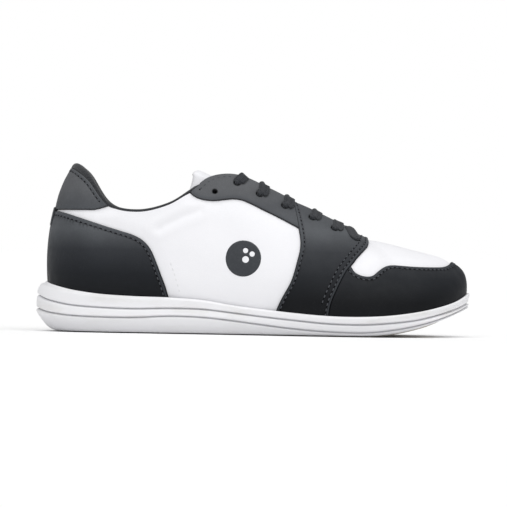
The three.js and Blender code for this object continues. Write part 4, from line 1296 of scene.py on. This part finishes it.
def cap(ring, heightOf, spacing, flip):
    # flat-triangulated cover for a ring, its inner points following a height
    flatRing = leftTurning(ring[:, :2])
    grid = hexGrid(flatRing.min(0), flatRing.max(0), spacing)
    grid = grid[isInside(grid, flatRing)]
    grid = grid[distanceTo(grid, flatRing, np.roll(flatRing, -1, axis=0)) > 0.5 * spacing]
    flat, triangles = triangulated([flatRing], grid)
    solid = np.concatenate([flat, np.zeros((len(flat), 1))], 1)
    solid[:, 2] = heightOf(solid)
    nearest = ((flat[:, None] - ring[None, :, :2]) ** 2).sum(2)
    onRing = nearest.min(1) < 1e-6
    solid[onRing] = ring[nearest.argmin(1)[onRing]]
    return solid, [tuple(t[::-1] if flip else t) for t in triangles]


def closedStack(rings, firstHeight, lastHeight, spacing, upsideDown=False):
    # skin over a stack of rings from the bottom up, with a cover at each end
    points = np.array(rings).reshape(-1, 3)
    faces = gridFaces(len(rings), len(rings[0]), closedColumns=True)
    for ring, heightOf, flip in ((rings[0], firstHeight, not upsideDown),
                                 (rings[-1], lastHeight, upsideDown)):
        capPoints, capFaces = cap(ring, heightOf, spacing, flip)
        faces += [tuple(n + len(points) for n in face) for face in capFaces]
        points = np.concatenate([points, capPoints])
    return points, faces


def makeSole():
    u = np.abs(soleW)
    flare, bevel = through(sole["flare"], u), through(sole["bevel"], u)
    rim = through(sole["rim"], u)
    rimFace = cupWall + layers["cupDepth"] * through(leave["out"], u) / through(leave["up"], u)
    lowerPart, upperPart = through(sole["lowerGroove"], u), through(sole["upperGroove"], u)
    wall = sole["rimWall"]
    # keys up the outer wall: part of the height, and distance out from the feather line
    keys = [(0 * u, flare - bevel), (0.12 * lowerPart, flare - 0.68 * bevel),
            (0.4 * lowerPart, flare - 0.36 * bevel), (0.8 * lowerPart, flare - 0.3),
            (lowerPart, flare - 0.2),
            (mix(lowerPart, upperPart, 0.35), flare + 0.1), (mix(lowerPart, upperPart, 0.7), flare - 0.1),
            (upperPart, flare - 0.7), (mix(upperPart, 1, 0.3), flare - 0.55),
            (mix(upperPart, 1, 0.75), mix(flare, rimFace + wall, 0.5)), (0 * u + 0.97, rimFace + 0.8 * wall),
            (0 * u + 1, rimFace + 0.4 * wall)]
    parts, offsets = np.array([k[0] for k in keys]), np.array([k[1] for k in keys])
    samples = np.linspace(0, 1, 100)
    rings, shades = [], []
    for s in samples:
        part = np.array([through(parts[:, i], s) for i in range(soleColumns)])
        offset = np.array([through(offsets[:, i], s) for i in range(soleColumns)])
        low = sole["padDrop"] + spring(featherPoint(soleW)[:, 0])
        height = mix(low, rim, part)
        shade = 0 * u
        for groove in (lowerPart, upperPart):
            away = (height - mix(low, rim, groove)) / sole["grooveWidth"]
            offset = offset - sole["grooveDepth"] * bell(away, 1)
            offset = offset + sole["lip"] * bell(np.abs(away) - 2.2, 1)  # rounded lips beside the groove
            shade = shade + sole["grooveShade"] * bell(away, 0.8)
        shades.append(shade)
        rings.append(ringAt(offset, height))
    rings.append(ringAt(rimFace, rim - 0.35))
    inner = ringAt(0 * u + cupWall, 0)
    inner[:, 2] = cupFloor(u, inner[:, 0])
    rimRing = rings[-1]
    rings += [mix(rimRing, inner, t) for t in (0.4, 1)]
    points, faces = closedStack(rings, lambda p: sole["padDrop"] + spring(p[:, 0]),
                                lambda p: cupFloor(stationAt(p[:, 0]), p[:, 0]), 4)
    grooveShade = np.zeros(len(points))
    grooveShade[:len(samples) * soleColumns] = np.array(shades).ravel()
    return points, faces, grooveShade


points, faces, grooveShade = makeSole()
makePiece("outsole_rubber", points, faces, materials["sole"], "outsole", weld=True,
          extra={"grooveShade": grooveShade})


sweepReach = 70  # from the middle line, where a pad's end has gone back by the whole of its sweep


def makePad(name, start, end, sweep, material, node):
    # pad let into the underside, its ends swept and its lower edge rounded
    u = np.linspace(0, 1, 800)
    inset = featherPoint(u)[:, :2] - featherOutward(u)[:, :2] * sole["padInset"]
    x, y = inset[:, 0], np.abs(inset[:, 1])
    bow = sweep * (y / sweepReach) ** 2
    inside = np.flatnonzero((x >= start + bow) & (x <= end - bow))
    run = np.stack([x[inside], y[inside]], 1)
    front, back = np.linspace(run[-1][1], -run[-1][1], 40), np.linspace(-run[0][1], run[0][1], 40)
    frontEnd = np.stack([end - sweep * (front / sweepReach) ** 2, front], 1)
    backEnd = np.stack([start + sweep * (back / sweepReach) ** 2, back], 1)
    loop = np.concatenate([run, frontEnd[1:-1], run[::-1] * [1, -1], backEnd[1:-1]])
    flatRing = leftTurning(evenly(np.concatenate([loop, loop[:1]]), 1.6)[:-1])
    for _ in range(3):  # rounds the corners
        flatRing = 0.5 * flatRing + 0.25 * (np.roll(flatRing, 1, axis=0) + np.roll(flatRing, -1, axis=0))
    after, before = np.roll(flatRing, -1, axis=0), np.roll(flatRing, 1, axis=0)
    tangent = unit(after - before)
    inward = np.stack([-tangent[:, 1], tangent[:, 0]], 1)
    rings = []
    for inset, rise in ((0, sole["padThick"]), (0, 0.6), (0.18, 0.22), (0.6, 0)):
        line = flatRing + inward * inset
        rings.append(np.concatenate([line, (spring(line[:, 0]) + rise)[:, None]], 1))
    points, faces = closedStack(rings, lambda p: spring(p[:, 0]) + sole["padThick"],
                                lambda p: spring(p[:, 0]), 3, upsideDown=True)
    return makePiece(name, points, faces, material, node, weld=True)


makePad("slide_pad_microfibre", -12, 132, 42, materials["microfibre"], "slide_pad")
makePad("heel_pad_rubber", -133, -66, -14, materials["heelRubber"], "heel_pad")

board = {"dip": 0.3 * 1.52}
footbed = {"foam": 4, "cover": 0.8, "inset": 5.8}


def boardTop(u):
    return through(sole["rim"], u) - layers["cupDepth"] - layers["gap"] - board["dip"]


def makeInsert(name, bottomOf, topOf, rounding, material, node, body):
    u = np.abs(soleW)
    rings = []
    for inset, part in ((rounding, 0), (0.25 * rounding, 0.12), (0, 0.4), (0, 0.6), (0.25 * rounding, 0.9),
                        (rounding, 1)):
        ring = ringAt(0 * u - footbed["inset"] - inset, 0)
        at = stationAt(ring[:, 0])
        ring[:, 2] = mix(bottomOf(at), topOf(at), part)
        rings.append(ring)
    points, faces = closedStack(rings, lambda p: bottomOf(stationAt(p[:, 0])),
                                lambda p: topOf(stationAt(p[:, 0])), 3)
    return makePiece(name, points, faces, material, node, body, weld=True)


def footbedBottom(u):
    return boardTop(u) + layers["gap"]


def foamTop(u):
    return footbedBottom(u) + footbed["foam"]


foamPad = makeInsert("footbed_foam_pad", footbedBottom, foamTop, 0.8, materials["foam"], "footbed_foam",
                     "footbed")
makeInsert("footbed_cover_cloth", lambda u: foamTop(u) + 0.1, lambda u: foamTop(u) + 0.2 + footbed["cover"],
           0.35, materials["cloth"], "footbed_cover", "footbed")
# pieces that keep their CAD shape, with a finish on it
for node, finish in (("midsole_foam", "foam"), ("insole_board", "fibre"), ("shank", "steel"),
                     ("heel_counter", "fibre"), ("toe_puff", "fibre"),
                     ("eyelet_backing_lateral", "darkFibre"), ("eyelet_backing_medial", "darkFibre")):
    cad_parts[node].data.materials.clear()
    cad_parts[node].data.materials.append(materials[finish])
print("sole and footbed made")

# tongue

tongue = {
    "root": 13.9,  # stations of its sewn front end and of the last lace it lies under
    "last": 7.5,
    "overhangStart": 0.84,
    "overhang": (-18, 8),
    "tipNarrowing": 0.32,
    "wingSweep": 0.72,
    "tipShoulders": (0.1, 0.25, 0.55, 0.95, 0, 0.95, 0.55, 0.25, 0.1),  # widened at the tip, edge to edge
    "laceRoom": 1,
    "clear": 0.5,
    "rows": 70,
    "columns": 41,
    "shell": 1,
    "gap": 0.6,
    "foam": 3.6,
    "lining": 0.8,
}
laceSize = {"width": 7.6, "thick": 1.3, "over": 2.49, "under": -5.49}
tongueTop = (layers["liningFace"] - layers["liningThick"] - 2 * tongue["laceRoom"] - laceSize["thick"]
             - tongue["clear"])


def tongueSection(q):
    along = min(q / tongue["overhangStart"], 1)
    u = mix(tongue["root"], tongue["last"], along) / lastStation
    beyond = max((q - tongue["overhangStart"]) / (1 - tongue["overhangStart"]), 0)
    lowEdge = mix(0.82, 0.68, smooth(0, 0.5, q))
    v = np.linspace(lowEdge, 1, 4)
    lateral, medial = offUpper(np.full(4, -u), v, tongueTop), offUpper(np.full(4, u), v, tongueTop)
    middle = (lateral[3] + medial[3]) / 2
    middle[2] += 2 * smooth(0.12, 0.4, q)
    if np.linalg.norm(middle - lateral[3]) < 3:
        lateral[3] = (lateral[2] + middle) / 2
        medial[3] = (medial[2] + middle) / 2
    row = np.concatenate([lateral, [middle], medial[::-1]])
    row[:, 0] += beyond * (tongue["overhang"][0] - tongue["wingSweep"] * (row[:, 2].max() - row[:, 2]))
    row[:, 2] += beyond * tongue["overhang"][1]
    row[:, 1] *= 1 - tongue["tipNarrowing"] * beyond * beyond
    row[:, 1] *= 1 + beyond * np.array(tongue["tipShoulders"])
    return row


def tongueFace():
    coarse = np.array([tongueSection(q) for q in np.linspace(0, 1, 24)])
    for _ in range(2):  # takes the small kinks out along the tongue
        coarse[1:-1] = 0.25 * coarse[:-2] + 0.5 * coarse[1:-1] + 0.25 * coarse[2:]
    fine = np.array([[through(coarse[i, :, k], np.linspace(0, 1, tongue["columns"]), True) for k in range(3)]
                     for i in range(len(coarse))]).transpose(0, 2, 1)
    rows = np.linspace(0, 1, tongue["rows"])
    return np.stack([np.stack([through(fine[:, j, k], rows, True) for k in range(3)], 1)
                     for j in range(tongue["columns"])], 1)


tongueGrid = tongueFace()
alongGrid = np.gradient(tongueGrid, axis=0)
acrossGrid = np.gradient(tongueGrid, axis=1)
tongueNormals = unit(np.cross(acrossGrid, alongGrid))
tongueNormals *= np.sign(tongueNormals[:, tongue["columns"] // 2, 2].mean())
tongueDepth = tongue["shell"] + 2 * tongue["gap"] + tongue["foam"] + tongue["lining"]


def edgeRound():
    # 0 in the middle of the tongue, 1 at its edges
    s = np.abs(np.linspace(-1, 1, tongue["columns"]))[None, :]
    q = np.linspace(0, 1, tongue["rows"])[:, None]
    edge = np.clip((s - 0.84) / 0.16, 0, 1)
    tip = np.clip((q - 0.96) / 0.04, 0, 1)
    return np.minimum(np.sqrt(edge ** 2 + tip ** 2), 1)


def tongueLayer(top, bottom):
    # between two depths, both drawn to the middle of the thickness at the edges
    pinch = (1 - np.sqrt(np.maximum(1 - edgeRound() ** 2, 0)))[..., None]
    centre = 0.4 * tongueDepth
    topDepth = mix(top, min(max(top, centre - 0.4), centre + 0.4), pinch)
    bottomDepth = mix(bottom, min(max(bottom, centre - 0.4), centre + 0.4), pinch)
    bottomDepth = np.maximum(bottomDepth, topDepth + 0.15)
    return slab(tongueGrid - tongueNormals * topDepth, tongueGrid - tongueNormals * bottomDepth)


foamStart = tongue["shell"] + tongue["gap"] * 0.3
foamStop = foamStart + tongue["foam"] + tongue["gap"]
for layer, kind, top, bottom, finish, slotName in (
        ("shell", "leather", 0, tongue["shell"], "white", "white_leather"),
        ("foam", "pad", foamStart, foamStop, "foam", "foam"),
        ("lining", "mesh", foamStop + 0.1, tongueDepth, "lining", "lining_fabric")):
    points, faces = tongueLayer(top, bottom)
    makePiece(f"tongue_{layer}_{kind}", points, faces, materials[finish],
                                   f"tongue_{layer}", "tongue")
print("tongue made")

# lace

lace = {
    "inHole": (2.7, 1.7),
    "crossing": 0.95,  # half the height between the two strands where they cross
    "pastEdge": 2.4,
    "overEdge": 2.1,
    "lean": 7,  # how far a strand runs towards the toe between its eyelet and the edge
    "aglet": {"length": 16, "width": 3.4, "thick": 1.7},
}


def laceKey(point, normal, width=laceSize["width"], thick=laceSize["thick"]):
    return np.array(point, float), np.array(normal, float), width, thick


def at(side, eyelet, distance, back=0.0, edge=False, ahead=0.0):
    # a place near an eyelet: back is towards the opening, ahead towards the toe
    u, v = eyeletPlaces[side][eyelet]
    u = u + ahead * 0.02 / (upperPoint(u + 0.01, 1.0)[0] - upperPoint(u - 0.01, 1.0)[0])
    w = side * u
    inward = unit(upperPoint(w, v) - upperPoint(w, 1.0))
    return offUpper(w, 0.995 if edge else v, distance) - inward * back


eyeletPlaces = {side: locate(eyelets, side) for side in sides.values()}


def throughEyelet(side, eyelet, sign, isEnd):
    u, v = eyeletPlaces[side][eyelet]
    w = side * u
    normal = upperNormal(w, v)
    inward = unit(upperPoint(w, v) - upperPoint(w, 1.0))
    up, down = normal * sign, -normal * sign
    over, under = laceSize["over"], laceSize["under"]
    lean = 0 if eyelet == len(eyelets) - 1 else lace["lean"]
    # from the crossing, over the turned edge and the leather, and down through the hole
    keys = [
        laceKey(at(side, eyelet, 0.6, lace["overEdge"], True, lean * 1.25), up),
        laceKey(at(side, eyelet, over + 0.15, 0, True, lean), up),
        laceKey(at(side, eyelet, over + 0.3, 3.4, False, lean * 0.5), up, laceSize["width"] * 1.04),
        laceKey(at(side, eyelet, over + 0.2, 0.9, False, lean * 0.15), up, laceSize["width"] * 0.98),
        laceKey(at(side, eyelet, over - 0.45, -0.9), unit(up + inward * sign),
                laceSize["width"] * 0.62, 1.5),
        laceKey(at(side, eyelet, -1.2, 0), inward * sign, *lace["inHole"]),
    ]
    if isEnd:
        keys.append(laceKey(at(side, eyelet, under - 0.8, -1.6), up, 3, 1.4))
        for drop, depth in ((0.13, 0), (0.24, 0.3), (0.34, 1.6)):
            keys.append(laceKey(offUpper(w, v - drop, under - depth), upperNormal(w, v - drop) * sign))
    else:
        keys.append(laceKey(at(side, eyelet, under - 0.9, 1.4), down, 3, 1.4))
        for height, back, share in ((under - 0.2, 0, -0.5), (under + 0.3, lace["pastEdge"], -0.6)):
            keys.append(laceKey(at(side, eyelet, height, back, True, share * lace["lean"]), down))
    return keys


def laceHalf(firstSide, height):
    keys, side, sign = [], firstSide, 1
    for eyelet in range(len(eyelets) - 1, 0, -1):
        crossed = throughEyelet(side, eyelet, sign, eyelet == 1)
        if keys:  # where the strand lies on the other one, half way across
            middle = (keys[-1][0] + crossed[0][0]) / 2
            middle[2] += height
            keys.append(laceKey(middle, unit(np.array([0.4, 0, 1])) * sign))
        keys += crossed
        side, sign = -side, -sign
    return keys


sectionPoints = 20


def roundedSection(width, thick):
    angle = np.linspace(0, 2 * math.pi, sectionPoints, endpoint=False)
    cos, sin = np.cos(angle), np.sin(angle)
    return np.stack([width / 2 * np.sign(cos) * np.abs(cos) ** 0.55,
                     thick / 2 * np.sign(sin) * np.abs(sin) ** 0.7], 1)


def centripetal(a, b, c, d, t1, t2, t3, t):
    first = mix(a, b, t / t1)
    second = mix(b, c, (t - t1) / (t2 - t1))
    third = mix(c, d, (t - t2) / (t3 - t2))
    left = mix(first, second, t / t2)
    right = mix(second, third, (t - t1) / (t3 - t1))
    return mix(left, right, (t - t1) / (t2 - t1))


def laceMesh(keys, steps=9):
    points = np.array([key[0] for key in keys])
    before, after = 2 * points[0] - points[1], 2 * points[-1] - points[-2]
    padded = np.concatenate([[before], points, [after]])
    spans = np.linalg.norm(np.diff(padded, axis=0), axis=1) ** 0.5
    sections, lengths, total, last = [], [], 0, None
    for k in range(len(keys) - 1):
        a, b, c, d = padded[k:k + 4]
        t1, t2, t3 = spans[k], spans[k] + spans[k + 1], spans[k] + spans[k + 1] + spans[k + 2]
        isLast = k == len(keys) - 2
        for i in range(steps + (1 if isLast else 0)):
            part = i / steps
            t = mix(t1, t2, part)
            behind, place, ahead = [centripetal(a, b, c, d, t1, t2, t3, t + nearby)
                                    for nearby in (-0.01, 0, 0.01)]
            tangent = unit(ahead - behind)
            ease = part * part * (3 - 2 * part)
            normal = mix(keys[k][1], keys[k + 1][1], ease)
            across = unit(np.cross(tangent, normal))
            face = np.cross(across, tangent)
            width, thick = [mix(keys[k][i], keys[k + 1][i], ease) for i in (2, 3)]
            profile = roundedSection(width, thick)
            if last is not None:
                total += np.linalg.norm(place - last)
            last = place
            sections.append(place + profile[:, :1] * across + profile[:, 1:] * face)
            lengths.append(total)
    return np.array(sections), np.array(lengths)


lastEyelet = len(eyelets) - 1
bar = (at(-1, lastEyelet, laceSize["over"], 0, True) + at(1, lastEyelet, laceSize["over"], 0, True)) / 2
bar[2] += 0.6
laceKeys = laceHalf(-1, lace["crossing"])[::-1]
laceKeys.append(laceKey(bar, unit(np.array([ridgeFall, 0, 1]))))
laceKeys += laceHalf(1, -lace["crossing"])
sections, lengths = laceMesh(laceKeys)
points, faces = loft(sections)
lacePiece = makePiece("lace_braid", points, faces, materials["lace"], "lace")


def addLaceUV(piece, lengths):
    # U goes up and down once round the section, so it has no seam
    layer = piece.data.uv_layers.new(name="laceUV")
    for corner in piece.data.loops:
        section, column = divmod(corner.vertex_index, sectionPoints)
        layer.data[corner.index].uv = (1 - abs(2 * column / sectionPoints - 1), lengths[section] * mm)


addLaceUV(lacePiece, lengths)

for ends, name in ((laceKeys[1::-1], "aglet_medial"), (laceKeys[-2:], "aglet_lateral")):
    (before, *_), (end, normal, *_) = ends
    direction = unit(end - before)
    size = lace["aglet"]
    across = unit(np.cross(direction, normal))
    face = np.cross(across, direction)
    sections = []
    for distance, scale in ((0.3, 0.8), (0.6, 1), (4, 1), (8, 0.98), (12, 0.97), (15.3, 0.95), (15.9, 0.75)):
        profile = roundedSection(size["width"] * scale, size["thick"] * scale)
        sections.append(end + direction * distance + profile[:, :1] * across + profile[:, 1:] * face)
    points, faces = loft(np.array(sections))
    makePiece(f"{name}_tip", points, faces, materials["plastic"], name)
print("lace threaded,", round(lengths[-1]), "mm of it")

# stitches

stitches = {
    "pitch": 3.7,
    "length": 2.4,
    "width": 0.85,
    "needleHoleShade": 0.52,
    "holePlace": 0.56,  # from the stitch's middle, in lengths
    "flatness": 0.8,
    "sizes": (0.93, 1.05),
}


def stitchTree():
    tree = bpy.data.node_groups.new("stitchRow", "GeometryNodeTree")
    face = tree.interface
    face.new_socket("Geometry", in_out="INPUT", socket_type="NodeSocketGeometry")
    for name in ("Pitch", "Length", "Width", "Hole"):
        face.new_socket(name, in_out="INPUT", socket_type="NodeSocketFloat")
    for name in ("Thread", "Needle Hole Shade"):
        face.new_socket(name, in_out="INPUT", socket_type="NodeSocketMaterial")
    face.new_socket("Seed", in_out="INPUT", socket_type="NodeSocketInt")
    face.new_socket("Geometry", in_out="OUTPUT", socket_type="NodeSocketGeometry")
    given = tree.nodes.new("NodeGroupInput").outputs

    def scaled(name, factor):
        return arithmetic(tree, "MULTIPLY", given[name], factor)

    facing = addNode(tree, "GeometryNodeInputNamedAttribute", {"Name": "facing"}, data_type="FLOAT_VECTOR")
    curve = addNode(tree, "GeometryNodeMeshToCurve", {"Mesh": given["Geometry"]})
    capture = tree.nodes.new("GeometryNodeCaptureAttribute")
    capture.domain = "POINT"
    capture.capture_items.new("VECTOR", "Facing")
    tree.links.new(curve.outputs[0], capture.inputs[0])
    tree.links.new(facing.outputs["Attribute"], capture.inputs[1])
    even = addNode(tree, "GeometryNodeCurveToPoints",
                   {"Curve": capture.outputs[0], "Length": given["Pitch"]}, mode="LENGTH")
    # each stitch looks along the row and stands on the leather
    along = addNode(tree, "FunctionNodeAlignEulerToVector", {"Vector": even.outputs["Tangent"]}, axis="X")
    upright = addNode(tree, "FunctionNodeAlignEulerToVector",
                      {"Rotation": along.outputs[0], "Vector": capture.outputs[1]}, axis="Z", pivot_axis="X")
    # a stretched ball for the thread, and a flat dark disc at each of its ends, painted shade where the
    # needle holes are
    ball = addNode(tree, "GeometryNodeMeshUVSphere", {"Segments": 14, "Rings": 8, "Radius": 0.5})
    size = addNode(tree, "ShaderNodeCombineXYZ", {0: given["Length"], 1: given["Width"],
                                                  2: scaled("Width", stitches["flatness"])})
    thread = addNode(tree, "GeometryNodeTransform", {"Geometry": ball.outputs["Mesh"],
                                                     "Scale": size.outputs[0]})
    threadFinish = addNode(tree, "GeometryNodeSetMaterial", {"Geometry": thread.outputs[0],
                                                             "Material": given["Thread"]})
    disc = addNode(tree, "GeometryNodeMeshCylinder", {"Vertices": 10, "Radius": given["Hole"],
                                                      "Depth": scaled("Hole", 0.8)})
    both = tree.nodes.new("GeometryNodeJoinGeometry")
    for end in (-stitches["holePlace"], stitches["holePlace"]):
        place = addNode(tree, "ShaderNodeCombineXYZ", {0: scaled("Length", end), 2: scaled("Width", -0.3)})
        shifted = addNode(tree, "GeometryNodeTransform", {"Geometry": disc.outputs["Mesh"],
                                                          "Translation": place.outputs[0]})
        tree.links.new(shifted.outputs[0], both.inputs[0])
    discFinish = addNode(tree, "GeometryNodeSetMaterial", {"Geometry": both.outputs[0],
                                                           "Material": given["Needle Hole Shade"]})
    stitch = tree.nodes.new("GeometryNodeJoinGeometry")
    for finished in (threadFinish, discFinish):
        tree.links.new(finished.outputs[0], stitch.inputs[0])
    vary = addNode(tree, "FunctionNodeRandomValue", data_type="FLOAT")
    limits = [socket for socket in vary.inputs if socket.type == "VALUE"]
    limits[0].default_value, limits[1].default_value = stitches["sizes"]
    tree.links.new(given["Seed"], vary.inputs["Seed"])
    scale = [socket for socket in vary.outputs if socket.enabled and socket.type == "VALUE"][0]
    place = addNode(tree, "GeometryNodeInstanceOnPoints",
                    {"Points": even.outputs["Points"], "Instance": stitch.outputs[0],
                     "Rotation": upright.outputs[0], "Scale": scale})
    real = addNode(tree, "GeometryNodeRealizeInstances", {"Geometry": place.outputs[0]})
    addNode(tree, "NodeGroupOutput", {"Geometry": real.outputs[0]})
    return tree


def sewRows(name, rows, thread, hole, seed):
    points, edges, facing = [], [], []
    for line, normals in rows:
        first = len(points)
        points += list(line * mm)
        facing += list(normals)
        edges += [(first + i, first + i + 1) for i in range(len(line) - 1)]
    mesh = bpy.data.meshes.new(name + "Path")
    mesh.from_pydata(points, edges, [])
    attribute = mesh.attributes.new("facing", "FLOAT_VECTOR", "POINT")
    attribute.data.foreach_set("vector", np.array(facing, dtype=np.float32).ravel())
    path = bpy.data.objects.new(name + "Path", mesh)
    bpy.context.scene.collection.objects.link(path)
    tree = stitchTree()
    modifier = path.modifiers.new("stitchRow", "NODES")
    modifier.node_group = tree
    values = {"Pitch": stitches["pitch"] * mm, "Length": stitches["length"] * mm,
              "Width": stitches["width"] * mm, "Hole": stitches["needleHoleShade"] * mm, "Thread": thread,
              "Needle Hole Shade": hole, "Seed": seed}
    for item in tree.interface.items_tree:
        if item.in_out == "INPUT" and item.name in values:
            modifier[item.identifier] = values[item.name]
    bpy.context.view_layer.update()
    evaluated = path.evaluated_get(bpy.context.evaluated_depsgraph_get())
    sewn = bpy.data.objects.new(name, bpy.data.meshes.new_from_object(evaluated))
    bpy.data.objects.remove(path)
    bpy.context.scene.collection.objects.link(sewn)
    sewn.data.polygons.foreach_set("use_smooth", np.full(len(sewn.data.polygons), True))
    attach(sewn, "root")
    return sewn


sewRows("dark_stitches", stitchRows["dark"], materials["thread"], materials["needleHoleShade"], 4)
sewRows("white_stitches", stitchRows["white"], materials["whiteThread"], materials["whiteHoleShade"], 7)
print("stitches sewn")

# floor and light

studio = {
    "floorColour": (0.975, 0.975, 0.975),
    "floorSize": 400,
    "sunStrength": 2,
    "sunAngle": 80,
    "sunTilt": (-24, -5),
    "surroundings": 0.48,
}


def addStudio():
    half = studio["floorSize"] / 2
    mesh = bpy.data.meshes.new("studioFloor")
    corners = [(-half, -half, 0), (half, -half, 0), (half, half, 0), (-half, half, 0)]
    mesh.from_pydata(corners, [], [(0, 1, 2, 3)])
    floor = bpy.data.objects.new("studioFloor", mesh)
    material, _, shader = newMaterial("studioFloor", 0.9, 0.1)
    shader.inputs["Base Color"].default_value = (*studio["floorColour"], 1)
    mesh.materials.append(material)
    bpy.context.scene.collection.objects.link(floor)
    data = bpy.data.lights.new("softOverhead", "SUN")
    data.energy, data.angle = studio["sunStrength"], math.radians(studio["sunAngle"])
    lamp = bpy.data.objects.new("softOverhead", data)
    lamp.rotation_euler = [math.radians(-a) for a in studio["sunTilt"]] + [0]
    bpy.context.scene.collection.objects.link(lamp)
    floor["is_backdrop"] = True
    world = bpy.data.worlds.new("studio")
    world.use_nodes = True
    tree = world.node_tree
    tree.nodes.clear()
    # the camera sees plain white round the floor, and the shoe is lit by something dimmer
    dim, bright = [addNode(tree, "ShaderNodeBackground", {"Color": (1, 1, 1, 1), "Strength": strength})
                   for strength in (studio["surroundings"], 1)]
    seen = addNode(tree, "ShaderNodeLightPath").outputs["Is Camera Ray"]
    choose = addNode(tree, "ShaderNodeMixShader", {0: seen, 1: dim.outputs[0], 2: bright.outputs[0]})
    addNode(tree, "ShaderNodeOutputWorld", {"Surface": choose.outputs[0]})
    bpy.context.scene.world = world
    bpy.context.scene.view_settings.view_transform = "Standard"


addStudio()
print("floor and light set")

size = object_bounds()
print("size", size)
